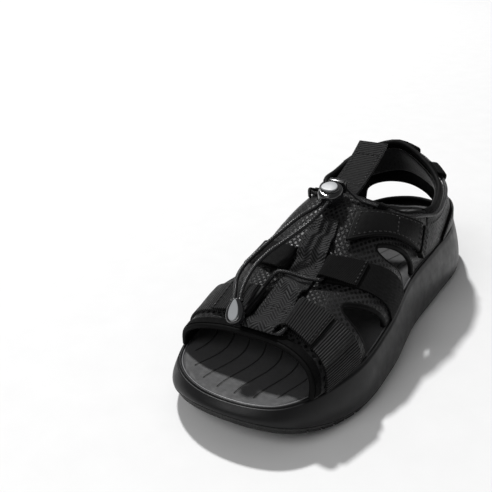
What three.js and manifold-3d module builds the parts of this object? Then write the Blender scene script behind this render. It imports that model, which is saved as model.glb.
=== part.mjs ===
import * as THREE from 'three';
import { mergeVertices } from 'three/addons/utils/BufferGeometryUtils.js';
import Module from 'manifold-3d';

const wasm = await Module();
wasm.setup();

// ---- driving sizes, mm ----
const SOLE_LENGTH = 277;
const SOLE_WIDTH = 106;
const INSTEP_HEIGHT = 80;
const TREAD = 4.2;
const TREAD_GROOVE = 2.2;
const GROOVE_WIDTH = 2.4;
const GROOVE_PITCH = 15.5;
const GAP = 0.3;
const LIP = 1.7;
const WELL_DEPTH = 8.9;
const BOARD = 1.6;
const LINING = 0.9;
const MESH = 1.3;
const WEBBING = 1.3;
const FLAP = 1.6;
const PAD = 3.2;
const LACE_RADIUS = 1.15;
const LACE_CLEARANCE = 0.5;
const SPINE_WIDTH = 16.6;
const TAB_LENGTH = 50;
const TAB_WIDTH = 19;
const TAB_THICKNESS = 2;
const LOCK_LENGTH = 16;
const LOCK_WIDTH = 14;
const LOCK_HEIGHT = 9;
const LOCK_FLOOR = 0.8;
const BUTTON_TRAVEL = 1;
const BUTTON_PROUD = 1.4;
const SPRING_HEIGHT = 1.9;
const CLIP_LENGTH = 14;
const CLIP_WIDTH = 10;
const CLIP_THICKNESS = 5.2;

// ---- fits worked out from the sizes ----
const KX = SOLE_WIDTH / 106;
const KY = SOLE_LENGTH / 277;
const KZ = INSTEP_HEIGHT / 80;
const MESH_IN = LINING + 2.5 * GAP;
const MESH_OUT = MESH_IN + MESH;
const WEB_IN = MESH_OUT + GAP;
const WEB_OUT = WEB_IN + WEBBING;
const TUNNEL_BORE = LACE_RADIUS + LACE_CLEARANCE;
const TUNNEL_RADIUS = TUNNEL_BORE + WEBBING;
const TUNNEL_CENTRE = WEB_IN + TUNNEL_RADIUS;
const UPPER_INSET = 4.6 + WEB_OUT;
const LACE_ON_MESH = MESH_OUT + GAP + LACE_RADIUS;
const LACE_ON_WEB = WEB_OUT + GAP + LACE_RADIUS;

const V3 = (x, y, z) => new THREE.Vector3(x, y, z);
const mix = (a, b, t) => a + (b - a) * t;
const clamp = THREE.MathUtils.clamp;

// A smooth curve through [place, value] pairs, held flat past both ends.
function smooth(pairs) {
  const n = pairs.length;
  const slope = pairs.map((p, i) => {
    const a = pairs[Math.max(0, i - 1)];
    const b = pairs[Math.min(n - 1, i + 1)];
    return (b[1] - a[1]) / (b[0] - a[0]);
  });
  return (x) => {
    if (x <= pairs[0][0]) return pairs[0][1];
    if (x >= pairs[n - 1][0]) return pairs[n - 1][1];
    let i = 0;
    while (x > pairs[i + 1][0]) i += 1;
    const h = pairs[i + 1][0] - pairs[i][0];
    const t = (x - pairs[i][0]) / h;
    const a = pairs[i][1];
    const b = pairs[i + 1][1];
    const t2 = t * t;
    const t3 = t2 * t;
    return a * (2 * t3 - 3 * t2 + 1) + b * (3 * t2 - 2 * t3)
      + slope[i] * h * (t3 - 2 * t2 + t) + slope[i + 1] * h * (t3 - t2);
  };
}

// ---- solids ----
function clean(geometry) {
  geometry.deleteAttribute('normal');
  geometry.deleteAttribute('uv');
  return mergeVertices(geometry, 1e-3);
}

// A box of nu x nv x nw cells whose corners are moved by place(u, v, w), each 0..1.
function bend(nu, nv, nw, place) {
  const g = new THREE.BoxGeometry(1, 1, 1, nu, nv, nw);
  const p = g.attributes.position;
  for (let i = 0; i < p.count; i += 1) {
    const q = place(p.getX(i) + 0.5, p.getY(i) + 0.5, p.getZ(i) + 0.5);
    p.setXYZ(i, q.x, q.y, q.z);
  }
  return clean(g);
}

function toSolid(geometry) {
  const g = clean(geometry.clone());
  return new wasm.Manifold(new wasm.Mesh({
    numProp: 3,
    vertProperties: new Float32Array(g.attributes.position.array),
    triVerts: new Uint32Array(g.index.array),
  }));
}

function toGeometry(solid) {
  const m = solid.getMesh();
  const g = new THREE.BufferGeometry();
  g.setAttribute('position', new THREE.BufferAttribute(new Float32Array(m.vertProperties), 3));
  g.setIndex(new THREE.BufferAttribute(new Uint32Array(m.triVerts), 1));
  return g;
}

function carve(geometry, cutters) {
  let solid = toSolid(geometry);
  for (const c of cutters) solid = solid.subtract(toSolid(c));
  return toGeometry(solid);
}

function join(parts) {
  let solid = toSolid(parts[0]);
  for (const p of parts.slice(1)) solid = solid.add(toSolid(p));
  return toGeometry(solid);
}

// A round bar of eight sides along a smooth path.
function cordOf(points, radius, steps, sides = 8) {
  const ring = new THREE.Shape();
  for (let i = 0; i <= sides; i += 1) {
    const a = (i / sides) * Math.PI * 2;
    const x = Math.cos(a) * radius;
    const y = Math.sin(a) * radius;
    if (i === 0) ring.moveTo(x, y);
    else if (i < sides) ring.lineTo(x, y);
  }
  ring.closePath();
  const path = new THREE.CatmullRomCurve3(points, false, 'centripetal');
  const g = new THREE.ExtrudeGeometry(ring, { steps, bevelEnabled: false, extrudePath: path });
  return clean(g);
}

function rod(a, b, radius, sides = 12) {
  const g = new THREE.CylinderGeometry(radius, radius, a.distanceTo(b), sides);
  const turn = new THREE.Quaternion().setFromUnitVectors(
    V3(0, 1, 0),
    b.clone().sub(a).normalize(),
  );
  g.applyQuaternion(turn);
  const mid = a.clone().add(b).multiplyScalar(0.5);
  g.translate(mid.x, mid.y, mid.z);
  return clean(g);
}

// ---- materials ----
const LOOKS = {
  rubber: [0x1b1b1c, 0.75],
  foam: [0x1f1f20, 0.7],
  board: [0x4a4640, 0.9],
  topcloth: [0x3a3b3d, 0.9],
  lining: [0x1a1a1b, 0.85],
  mesh: [0x202123, 0.95],
  webbing: [0x18181a, 0.8],
  strap: [0x141416, 0.6],
  hook: [0x111112, 0.9],
  lace: [0x121214, 0.4],
  plastic: [0x17181a, 0.35],
  inlay: [0x9a9da0, 0.4],
  steel: [0xb8bcc0, 0.3],
};

const sandal = new THREE.Group();
sandal.name = 'sport_sandal';

function add(name, geometry, look) {
  const [color, roughness] = LOOKS[look];
  const metalness = look === 'steel' ? 1 : 0;
  const m = new THREE.MeshStandardMaterial({ color, roughness, metalness });
  m.name = look;
  const mesh = new THREE.Mesh(geometry, m);
  mesh.name = name;
  sandal.add(mesh);
  return mesh;
}

// ---- sole outline ----
const OUTLINE = [
  [-16, -140.6], [-44, -124.4], [-56, -82.4], [-52.5, -34], [-38, 15.4], [-34.5, 60],
  [-35.5, 97.8], [-20.7, 125], [2, 136.2], [29.6, 131.5], [44, 98.6], [45, 50],
  [44.6, 4.5], [49.5, -45], [47.2, -91.3], [25.2, -134.3],
];
const outline = new THREE.CatmullRomCurve3(
  OUTLINE.map(([x, y]) => V3(x * KX, y * KY, 0)),
  true,
  'centripetal',
).getSpacedPoints(480).slice(0, 480);
const yLow = Math.min(...outline.map((p) => p.y));
const yHigh = Math.max(...outline.map((p) => p.y));
const iLow = outline.findIndex((p) => p.y === yLow);
const iHigh = outline.findIndex((p) => p.y === yHigh);

function sideRun(from, to, step) {
  const run = [];
  let i = from;
  while (i !== to) {
    run.push(outline[i]);
    i = (i + step + outline.length) % outline.length;
  }
  run.push(outline[to]);
  return run;
}
const medialRun = sideRun(iLow, iHigh, 1);
const lateralRun = sideRun(iLow, iHigh, -1);

function acrossAt(run, y) {
  let i = 0;
  while (i < run.length - 2 && run[i + 1].y < y) i += 1;
  const a = run[i];
  const b = run[i + 1];
  const t = clamp((y - a.y) / Math.max(1e-6, b.y - a.y), 0, 1);
  return mix(a.x, b.x, t);
}
const lateral = (y) => acrossAt(lateralRun, y);
const medial = (y) => acrossAt(medialRun, y);

// heights along the sole
const toeLift = smooth([[-141, 13.5], [-125, 7.5], [-105, 2], [-85, 0], [-70, 0]].map(
  ([y, z]) => [y * KY, z],
));
const heelLift = smooth([[110, 0], [118, 0], [128, 1], [136.5, 3]].map(([y, z]) => [y * KY, z]));
const floorZ = (y) => Math.max(0, toeLift(y)) + Math.max(0, heelLift(y));
const rimZ = smooth([
  [-141, 23.5], [-120, 24], [-90, 26], [-45, 29.5], [0, 33.5], [40, 35.5], [100, 36.5], [137, 37],
].map(([y, z]) => [y * KY, z]));

// A slab shaped like the sole: inset(w) and z(y, w, u) over w from bottom to top.
function soleSlab(nx, ny, nz, inset, height, backInset = inset) {
  return bend(nx, ny, nz, (u, v, w) => {
    const d = inset(w);
    const back = backInset(w);
    const turn = Math.sin((v - 0.5) * Math.PI);
    const yo = mix(yLow + 0.5, yHigh - 0.5, 0.5 + turn / 2);
    const y = mix(yLow + 0.5 + d, yHigh - 0.5 - back, 0.5 + turn / 2);
    const mid = (lateral(yo) + medial(yo)) / 2;
    const half = (lateral(yo) - medial(yo)) / 2;
    const heel = THREE.MathUtils.smoothstep(yo, 60 * KY, 130 * KY);
    const shrink = 1 - mix(d, mix(d, back, 0.6), heel) / (46 * KX);
    const x = mid + (u - 0.5) * 2 * half * shrink;
    return V3(x, y, height(y, w, (u - 0.5) * 2));
  });
}

const treadTop = (y) => floorZ(y) + TREAD;
const wellFloor = (y) => rimZ(y) - WELL_DEPTH;
const wall = (w) => 4.5 * w ** 1.7 + 0.9 * (1 - w) ** 3;
const wallBack = (w) => 9 * w ** 1.3 + 0.9 * (1 - w) ** 3;
const level = (d) => () => d;
const SOLE_ROWS = 28;

function makeOutsole() {
  const body = soleSlab(
    6, SOLE_ROWS, 1,
    (w) => mix(3, 1.1, w),
    (y, w) => mix(floorZ(y), treadTop(y), w),
  );
  const cut = (d, top) => soleSlab(
    2, SOLE_ROWS, 1,
    level(d),
    (y, w) => mix(floorZ(y) - 2, floorZ(y) + top, w),
  );
  const ring = toSolid(cut(13, TREAD_GROOVE)).subtract(toSolid(cut(13 + GROOVE_WIDTH, 9)));
  const cutters = [];
  const count = Math.floor((SOLE_LENGTH - 42) / GROOVE_PITCH);
  for (let i = 0; i < count; i += 1) {
    const y = (i - (count - 1) / 2) * GROOVE_PITCH + 1;
    const slant = 4;
    cutters.push(bend(1, 1, 1, (u, v, w) => {
      const yy = y + (v - 0.5) * GROOVE_WIDTH + (u - 0.5) * slant;
      const left = medial(clamp(y, yLow + 16, yHigh - 16)) + 15;
      const right = lateral(clamp(y, yLow + 16, yHigh - 16)) - 15;
      return V3(mix(left, right, u), yy, mix(floorZ(y) - 2, floorZ(y) + TREAD_GROOVE, w));
    }));
  }
  let solid = toSolid(body).subtract(ring);
  for (const c of cutters) solid = solid.subtract(toSolid(c));
  return toGeometry(solid);
}

function makeMidsole() {
  const body = soleSlab(
    6, SOLE_ROWS, 3,
    wall,
    (y, w) => mix(treadTop(y) + GAP, rimZ(y), w),
    wallBack,
  );
  const well = soleSlab(
    6, SOLE_ROWS, 1,
    level(4.5 + LIP),
    (y, w) => mix(wellFloor(y), rimZ(y) + 4, w),
    level(9 + LIP),
  );
  return carve(body, [well]);
}

const dish = smooth([
  [-141, 1], [-100, 1.5], [-60, 2], [-10, 2.5], [40, 3.5], [90, 5], [120, 4], [137, 1],
].map(([y, z]) => [y * KY, z]));
const footbedTop = (y, across) => rimZ(y) - 0.1 - dish(y) * (1 - THREE.MathUtils.smoothstep(
  Math.abs(across), 0.35, 0.8,
));

add('outsole', makeOutsole(), 'rubber');
add('midsole', makeMidsole(), 'foam');
add('insole_board', soleSlab(
  2, SOLE_ROWS, 1,
  level(4.5 + LIP + 1.2),
  (y, w) => wellFloor(y) + GAP + w * BOARD,
  level(9 + LIP + 1.2),
), 'board');
add('footbed', soleSlab(
  8, SOLE_ROWS, 1,
  level(4.5 + LIP + GAP),
  (y, w, u) => mix(wellFloor(y) + BOARD + 2 * GAP, footbedTop(y, u), w),
  level(9 + LIP + GAP),
), 'topcloth');

// ---- shape of the foot under the upper ----
const ridgeX = smooth([[-118, 0], [-81, -2], [-50, -5], [-25, -8], [0, -9], [40, -5]].map(
  ([y, x]) => [y * KY, x * KX],
));
const ridgeZ = smooth([
  [-118, 39], [-108, 42], [-81, 49], [-58, 53], [-39, 59], [-26, 65], [-10, 72.5],
  [6, 76.5], [40, 81],
].map(([y, z]) => [y * KY, z * KZ]));
const boxyLateral = smooth([
  [-118, 3], [-80, 2.8], [-40, 2.5], [-10, 2.4], [8, 2.7], [33, 4],
].map(([y, n]) => [y * KY, n]));
const boxyMedial = smooth([
  [-118, 3], [-80, 2.8], [-40, 2.7], [-10, 2.9], [33, 3.4],
].map(([y, n]) => [y * KY, n]));
const ankleBulge = smooth([[-25, 0], [5, 3], [32, 5]].map(([y, d]) => [y * KY, d * KX]));
const edgeIn = smooth([[-118, 5.5], [-105, 7.5], [-90, UPPER_INSET]].map(([y, d]) => [y * KY, d]));
const baseZ = (y) => rimZ(y) + 0.35;

// s runs from -1 at the medial rim over the ridge to +1 at the lateral rim.
function footPoint(s, y) {
  const a = ((1 - s) * Math.PI) / 2;
  const c = Math.cos(a);
  const power = 2 / (c > 0 ? boxyLateral(y) : boxyMedial(y));
  const side = c > 0
    ? lateral(y) - edgeIn(y) - ridgeX(y)
    : ridgeX(y) - medial(y) - edgeIn(y);
  const out = c > 0 ? 0 : ankleBulge(y) * Math.sin(2 * (Math.PI - a));
  const x = ridgeX(y) + side * Math.sign(c) * Math.abs(c) ** power - out;
  const z = baseZ(y) + (ridgeZ(y) - baseZ(y)) * Math.abs(Math.sin(a)) ** power;
  return V3(x, y, z);
}

function footNormal(s, y) {
  const t = clamp(s, -0.985, 0.985);
  const du = footPoint(t + 0.01, y).sub(footPoint(t - 0.01, y));
  const dv = footPoint(t, y + 1).sub(footPoint(t, y - 1));
  const n = du.cross(dv).normalize();
  const low = THREE.MathUtils.smoothstep(Math.abs(s), 0.86, 1);
  n.z *= 1 - low;
  return n.normalize();
}

// The s of the place on the ridge's slopes that stands at x.
function sAt(x, y) {
  const d = x - ridgeX(y);
  const side = d > 0
    ? lateral(y) - edgeIn(y) - ridgeX(y)
    : ridgeX(y) - medial(y) - edgeIn(y);
  const n = d > 0 ? boxyLateral(y) : boxyMedial(y);
  const c = clamp(Math.abs(d) / side, 0, 0.98) ** (n / 2);
  return (Math.sign(d) * Math.asin(c)) / (Math.PI / 2);
}
const overX = (x, y, offset) => over(sAt(x * KX, y * KY), y * KY, offset);

const over = (s, y, offset) => footPoint(s, y).addScaledVector(footNormal(s, y), offset);

// A layer on the foot: where(u, v) gives [s, y]; from offset `low` to `high`.
function layer(nu, nv, where, low, high, lift = () => 0) {
  return bend(nu, nv, 1, (u, v, w) => {
    const [s, y] = where(u, v);
    return over(s, y, mix(low, high, w) + lift(u, v));
  });
}

// A four-cornered patch: back-left, back-right, front-left, front-right as [s, y].
const patch = (fl, fr, bl, br) => (u, v) => [
  mix(mix(fl[0], fr[0], u), mix(bl[0], br[0], u), v),
  mix(mix(fl[1], fr[1], u), mix(bl[1], br[1], u), v) * KY,
];

// ---- vamp: one net of mesh with its lining, side openings cut through ----
const frontEdge = smooth([[-1, -107], [-0.5, -108.5], [0, -108], [0.5, -112], [1, -117]]);
const backEdge = smooth([
  [-1, 26], [-0.7, 26], [-0.47, 27], [-0.36, 14], [-0.2, 7], [0, 7], [0.25, 8], [0.5, 15],
  [0.7, 31], [0.85, 31], [1, 30],
]);

// Each opening: [s, front y, back y] rows from the rim to its rounded top.
const OPENINGS = {
  toe_lateral: [[1.2, -75, -46], [1, -75, -47], [0.8, -77, -53], [0.6, -77, -60],
    [0.45, -75, -66], [0.4, -72.5, -69]],
  instep_lateral: [[1.2, -11, 11], [1, -12, 10], [0.8, -16, 1], [0.62, -22, -9],
    [0.5, -23, -16], [0.46, -21.5, -19]],
  toe_medial: [[-1.2, -66, -42], [-1, -66, -43], [-0.8, -69, -50], [-0.62, -71, -57],
    [-0.52, -69, -62], [-0.49, -67.5, -64.5]],
  instep_medial: [[-1.2, -14, 8], [-1, -15, 7], [-0.8, -18, -1], [-0.64, -22, -9],
    [-0.54, -21, -14.5], [-0.51, -19.5, -17]],
};

function openingCutter(rows) {
  const sorted = [...rows].sort((a, b) => a[0] - b[0]);
  const front = smooth(sorted.map((r) => [r[0], r[1]]));
  const back = smooth(sorted.map((r) => [r[0], r[2]]));
  const s0 = sorted[0][0];
  const s1 = sorted[sorted.length - 1][0];
  return bend(9, 1, 1, (u, v, w) => {
    const s = mix(s0, s1, u);
    const y = mix(front(s), back(s), v) * KY;
    const p = over(clamp(s, -1, 1), y, mix(-3, 9, w));
    if (Math.abs(s) > 1) p.z -= (Math.abs(s) - 1) * 30;
    return p;
  });
}

function vampLayer(low, high) {
  const shell = layer(20, 13, (u, v) => {
    const s = mix(-1, 1, u);
    return [s, mix(frontEdge(s), backEdge(s), v) * KY];
  }, low, high);
  return carve(shell, Object.values(OPENINGS).map(openingCutter));
}

add('vamp_lining', vampLayer(0, LINING), 'lining');
add('vamp_mesh', vampLayer(MESH_IN, MESH_OUT), 'mesh');

// ---- folded webbing runs, each ending in a tunnel for the lace ----
const TUNNELS = {
  toe_webbing_lateral: [[12.3, -101.5], [12.3, -82.5]],
  instep_webbing_lateral: [[11.4, -61.5], [10, -44]],
  toe_webbing_medial: [[-12.3, -101], [-12.3, -81.5]],
  instep_webbing_medial: [[-12, -63], [-13.4, -44.5]],
};

function makeFold(name, rimFront, rimBack) {
  const [a, b] = TUNNELS[name];
  const side = Math.sign(a[0]);
  const at = ([x, y]) => [sAt(x * KX, y * KY), y];
  const low = [side, rimFront];
  const high = [side, rimBack];
  const where = side > 0 ? patch(at(a), low, at(b), high) : patch(low, at(a), high, at(b));
  const run = layer(12, 3, where, WEB_IN, WEB_OUT);
  const p = overX(a[0], a[1], TUNNEL_CENTRE);
  const q = overX(b[0], b[1], TUNNEL_CENTRE);
  const along = q.clone().sub(p).normalize();
  const tube = toSolid(rod(p, q, TUNNEL_RADIUS, 12));
  const bore = toSolid(rod(
    p.clone().addScaledVector(along, -3),
    q.clone().addScaledVector(along, 3),
    TUNNEL_BORE,
    10,
  ));
  return toGeometry(toSolid(run).add(tube).subtract(bore));
}

add('toe_webbing_lateral', makeFold('toe_webbing_lateral', -110, -82), 'webbing');
add('instep_webbing_lateral', makeFold('instep_webbing_lateral', -41, -15), 'webbing');
add('toe_webbing_medial', makeFold('toe_webbing_medial', -97, -70), 'webbing');
add('instep_webbing_medial', makeFold('instep_webbing_medial', -39, -19), 'webbing');

// ---- spine webbing over the ridge, lifted where the lace passes under it ----
const SPINE_FRONT = -108;
const SPINE_BACK = -17;
const SPINE_MIDDLE = smooth([
  [-108, 0], [-80, 0], [-50, -1], [-26, -5], [-12, -8], [0, -9],
].map(([y, x]) => [y * KY, x * KX]));
const UNDERPASS = [{ y: -105, slope: 0 }, { y: -73.2, slope: -0.63 }];
const ARCH = 2 * LACE_RADIUS + GAP + 0.8;

function arch(x, y) {
  let lift = THREE.MathUtils.smoothstep(y, -49 * KY, -42 * KY)
    - THREE.MathUtils.smoothstep(y, -34 * KY, -27 * KY);
  for (const pass of UNDERPASS) {
    const t = Math.abs(y - (pass.y + pass.slope * x) * KY) / 8;
    if (t < 1) lift = Math.max(lift, Math.cos((t * Math.PI) / 2) ** 2);
  }
  return lift * ARCH;
}

const spineAt = (u, v) => {
  const y = mix(SPINE_FRONT, SPINE_BACK, v) * KY;
  return [SPINE_MIDDLE(y) + (u - 0.5) * SPINE_WIDTH * KX, y];
};
add('spine_webbing', layer(
  4, 38,
  (u, v) => {
    const [x, y] = spineAt(u, v);
    return [sAt(x, y), y];
  },
  WEB_IN, WEB_OUT,
  (u, v) => arch(...spineAt(u, v)),
), 'webbing');

// ---- collar ring: from the lateral back edge of the vamp round the heel ----
const RIM_RING = [
  [36.2, 46], [35.4, 70], [32, 96], [20, 114], [2, 120], [-13.5, 112], [-23, 92],
  [-25.5, 66], [-27.5, 44],
];
const TOP_RING = [
  [35.3, 45, 65], [33, 62, 65.5], [28, 78, 69], [14, 92, 77], [-8, 101, 85], [-24, 91, 81.5],
  [-31, 72, 77], [-32.5, 54, 74.5], [-31.5, 38, 74.5],
];
const SEAM = 2.5;
const startLateral = (h) => {
  const s = 1 - 0.3 * h ** 1.8;
  return footPoint(s, (backEdge(s) + SEAM) * KY);
};
const startMedial = (h) => {
  const s = -1 + 0.53 * h ** 2;
  return footPoint(s, (backEdge(s) + SEAM) * KY);
};
const rimRing = new THREE.CatmullRomCurve3([
  startLateral(0),
  ...RIM_RING.map(([x, y]) => V3(x * KX, y * KY, baseZ(y * KY))),
  startMedial(0),
]);
const topRing = new THREE.CatmullRomCurve3([
  startLateral(1),
  ...TOP_RING.map(([x, y, z]) => V3(x * KX, y * KY, z * KZ)),
  startMedial(1),
]);
const HEEL_BULGE = 3;

function ruled(t, h) {
  return rimRing.getPoint(t).lerp(topRing.getPoint(t), h);
}

function ringPoint(t, h) {
  const p = ruled(t, h);
  const near = clamp(1 - t / 0.18, 0, 1) ** 2;
  const far = clamp(1 - (1 - t) / 0.18, 0, 1) ** 2;
  p.addScaledVector(startLateral(h).sub(ruled(0, h)), near);
  p.addScaledVector(startMedial(h).sub(ruled(1, h)), far);
  const out = rimRing.getTangent(clamp(t, 0.01, 0.99)).cross(V3(0, 0, 1)).normalize();
  const belly = HEEL_BULGE * 4 * h * (1 - h) * Math.sin(Math.PI * t) ** 0.7;
  return p.addScaledVector(out, belly);
}

function ringNormal(t, h) {
  const tt = clamp(t, 0.006, 0.994);
  const hh = clamp(h, 0.02, 0.98);
  const du = ringPoint(tt + 0.005, hh).sub(ringPoint(tt - 0.005, hh));
  const dv = ringPoint(tt, hh + 0.015).sub(ringPoint(tt, hh - 0.015));
  const n = du.cross(dv).normalize();
  n.z *= THREE.MathUtils.smoothstep(h, 0, 0.25);
  return n.normalize();
}

const around = (t, h, offset) => ringPoint(t, h).addScaledVector(ringNormal(t, h), offset);

function ringLayer(nu, nv, where, low, high, lift = () => 0) {
  return bend(nu, nv, 1, (u, v, w) => {
    const [t, h] = where(u, v);
    return around(t, h, mix(low, high, w) + lift(u, v));
  });
}

const whole = (t0, t1, h0, h1) => (u, v) => [mix(t0, t1, u), mix(h0, h1, v)];

// The window under the collar at the back of the medial side: [t, low h, high h].
const HEEL_WINDOW = [
  [0.42, 0.07, 0.14], [0.45, 0.05, 0.23], [0.53, 0.04, 0.34], [0.6, 0.04, 0.39],
  [0.66, 0.05, 0.36], [0.69, 0.08, 0.2],
];
const windowLow = smooth(HEEL_WINDOW.map(([t, low]) => [t, low]));
const windowHigh = smooth(HEEL_WINDOW.map(([t, , high]) => [t, high]));
const windowCutter = bend(9, 1, 1, (u, v, w) => {
  const t = mix(HEEL_WINDOW[0][0], HEEL_WINDOW[HEEL_WINDOW.length - 1][0], u);
  return around(t, mix(windowLow(t), windowHigh(t), v), mix(-5, 9, w));
});
const quarterLayer = (low, high) => carve(
  ringLayer(24, 5, whole(0, 1, 0, 1), low, high),
  [windowCutter],
);
add('quarter_lining', quarterLayer(0, LINING), 'lining');
add('quarter_mesh', quarterLayer(MESH_IN, MESH_OUT), 'mesh');
add('collar_pad', ringLayer(
  20, 4,
  whole(0.05, 0.95, 0.55, 0.97),
  -PAD - GAP, -GAP,
), 'lining');
add('heel_counter', ringLayer(
  6, 3,
  (u, v) => [
    mix(4 / 24, 10 / 24, u),
    mix(0.01, 0.14 + 0.28 * Math.sin(Math.PI * clamp(u, 0.02, 0.98)) ** 0.8, v),
  ],
  WEB_IN + 0.2, WEB_OUT + 0.2,
), 'strap');

// ---- webbing keepers arched over the heel lace ----
const LACE_HEIGHT = 0.88;
const KEEPER_ARCH = MESH_OUT + 2 * LACE_RADIUS + 2 * GAP - WEB_IN + 0.7;
const hump = (v) => Math.cos((clamp(Math.abs(v - 0.5) / 0.42, 0, 1) * Math.PI) / 2) ** 1.2;

function heelKeeper(name, t0, t1) {
  add(name, ringLayer(
    4, 10,
    whole(t0, t1, LACE_HEIGHT - 0.13, LACE_HEIGHT + 0.12),
    WEB_IN + 0.15, WEB_OUT + 0.15,
    (u, v) => hump(v) * KEEPER_ARCH,
  ), 'webbing');
}
heelKeeper('heel_keeper_lateral', 0.34, 0.39);
heelKeeper('heel_keeper_back', 11 / 24, 14 / 24);
heelKeeper('heel_keeper_medial', 0.66, 0.71);

function ankleKeeper(name, s0, s1, y0, y1) {
  add(name, layer(
    4, 10,
    (u, v) => [mix(s0, s1, u), mix(y0(u), y1(u), v) * KY],
    WEB_IN, WEB_OUT,
    (u, v) => hump(v) * KEEPER_ARCH,
  ), 'webbing');
}
const laceRow = (s) => backEdge(s) - 5;
ankleKeeper(
  'lace_keeper_lateral', 0.3, 0.37,
  (u) => laceRow(mix(0.3, 0.37, u)) - 4.6,
  (u) => laceRow(mix(0.3, 0.37, u)) + 4.6,
);
ankleKeeper(
  'lace_keeper_medial', -0.33, -0.26,
  (u) => laceRow(mix(-0.33, -0.26, u)) - 4.6,
  (u) => laceRow(mix(-0.33, -0.26, u)) + 4.6,
);

// ---- ankle strap: a flap that peels from its stitched back end ----
const STRAP = patch([0.215, -29], [0.96, 17], [0.2, -9], [0.8, 26]);
const STITCHED = 0.86;
const LOOP_OUT = WEB_IN + 1;
const HOOK_IN = LOOP_OUT + GAP;
const HOOK_OUT = HOOK_IN + 0.8;
const FLAP_IN = HOOK_OUT + GAP;
const FLAP_OUT = FLAP_IN + FLAP;
const strapSpan = (u0, u1, edge = 0) => (u, v) => STRAP(
  mix(u0, u1, u),
  mix(edge, 1 - edge, v),
);
const hingeFront = over(...strapSpan(STITCHED, STITCHED)(0, 0), FLAP_IN);
const hingeBack = over(...strapSpan(STITCHED, STITCHED)(0, 1), FLAP_IN);
add('loop_patch', layer(10, 4, strapSpan(0.02, 0.84, 0.06), WEB_IN, LOOP_OUT), 'hook');
add('strap_anchor', layer(3, 4, strapSpan(STITCHED + 0.04, 1), WEB_IN, FLAP_OUT), 'strap');
add('hook_patch', layer(6, 4, strapSpan(0.03, 0.45, 0.08), HOOK_IN, HOOK_OUT), 'hook');
add('ankle_strap', layer(12, 4, strapSpan(0, STITCHED - 0.01), FLAP_IN, FLAP_OUT), 'strap');

// ---- cord lock, riding on the two tails ----
const LOCK_Y = -5.5;
const LOCK_REST = WEB_OUT + GAP;
const LOCK_TRAVEL = 10;
const lockSeat = over(sAt(SPINE_MIDDLE(LOCK_Y * KY), LOCK_Y * KY), LOCK_Y * KY, LOCK_REST);
const lockUp = footNormal(0, LOCK_Y * KY);
const lockFront = footPoint(0, (LOCK_Y - 8) * KY).sub(footPoint(0, (LOCK_Y + 8) * KY)).normalize();
lockUp.addScaledVector(lockFront, -lockUp.dot(lockFront)).normalize();
const lockSide = new THREE.Vector3().crossVectors(lockUp, lockFront).normalize();
const lockBack = lockFront.clone().negate();
const lockFrame = new THREE.Matrix4().makeBasis(
  lockSide,
  lockBack,
  lockUp,
);
lockFrame.setPosition(lockSeat);
const lock = new THREE.Group();
lockFrame.decompose(lock.position, lock.quaternion, lock.scale);
sandal.add(lock);
const inLock = (x, y, z) => V3(x, y, z).applyMatrix4(lockFrame);

const CORD_SPREAD = 2.2;
const SPRING_BASE = LOCK_FLOOR + GAP;
const BUTTON_BASE = SPRING_BASE + SPRING_HEIGHT + GAP;
const SLOT_FLOOR = BUTTON_BASE + 0.9;
const CORD_LEVEL = SLOT_FLOOR + GAP + LACE_RADIUS;
const SLOT_TOP = CORD_LEVEL + LACE_RADIUS + BUTTON_TRAVEL + GAP;
const BUTTON_TOP = LOCK_HEIGHT + BUTTON_PROUD;
const BUTTON_X = 2 * (CORD_SPREAD + LACE_RADIUS + GAP) + 2.4;
const BUTTON_Y = 6;
const SHAFT_FIT = 0.3;

function leaf(width, length, height, bevel) {
  const shape = new THREE.Shape();
  const w = width / 2 - bevel;
  const l = length / 2 - bevel;
  shape.moveTo(0, -l);
  shape.bezierCurveTo(w * 0.9, -l, w, -l * 0.6, w, 0);
  shape.bezierCurveTo(w, l * 0.6, w * 0.9, l, 0, l);
  shape.bezierCurveTo(-w * 0.9, l, -w, l * 0.6, -w, 0);
  shape.bezierCurveTo(-w, -l * 0.6, -w * 0.9, -l, 0, -l);
  const g = new THREE.ExtrudeGeometry(shape, {
    depth: height - 2 * bevel,
    curveSegments: 5,
    bevelEnabled: bevel > 0,
    bevelThickness: bevel,
    bevelSize: bevel,
    bevelSegments: 2,
  });
  g.translate(0, 0, bevel);
  return clean(g);
}

function block(x, y, z0, z1, yMid = 0) {
  const g = new THREE.BoxGeometry(x, y, z1 - z0);
  g.translate(0, yMid, (z0 + z1) / 2);
  return clean(g);
}

function inLockGroup(name, geometry, look) {
  const m = add(name, geometry, look);
  lock.add(m);
  return m;
}

const lockBores = [-1, 1].map((side) => rod(
  V3(side * CORD_SPREAD, -LOCK_LENGTH, CORD_LEVEL),
  V3(side * CORD_SPREAD, LOCK_LENGTH, CORD_LEVEL),
  TUNNEL_BORE,
  10,
));
inLockGroup('cord_lock_body', carve(leaf(LOCK_WIDTH, LOCK_LENGTH, LOCK_HEIGHT, 0.9), [
  ...lockBores,
  block(BUTTON_X + 2 * SHAFT_FIT, BUTTON_Y + 2 * SHAFT_FIT, LOCK_FLOOR, LOCK_HEIGHT + 2),
]), 'plastic');
inLockGroup('cord_lock_button', carve(block(BUTTON_X, BUTTON_Y, BUTTON_BASE, BUTTON_TOP), [
  block(2 * (CORD_SPREAD + LACE_RADIUS + GAP), BUTTON_Y + 2, SLOT_FLOOR, SLOT_TOP),
]), 'plastic');
const spring = new THREE.CylinderGeometry(2.2, 2.2, SPRING_HEIGHT, 12);
spring.rotateX(Math.PI / 2);
spring.translate(0, 0, SPRING_BASE + SPRING_HEIGHT / 2);
inLockGroup('cord_lock_spring', clean(spring), 'steel');
const lockInlay = leaf(BUTTON_X - 1, BUTTON_Y + 1.5, 0.6, 0);
lockInlay.translate(0, 0, BUTTON_TOP + GAP);
inLockGroup('cord_lock_inlay', lockInlay, 'inlay');

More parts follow.
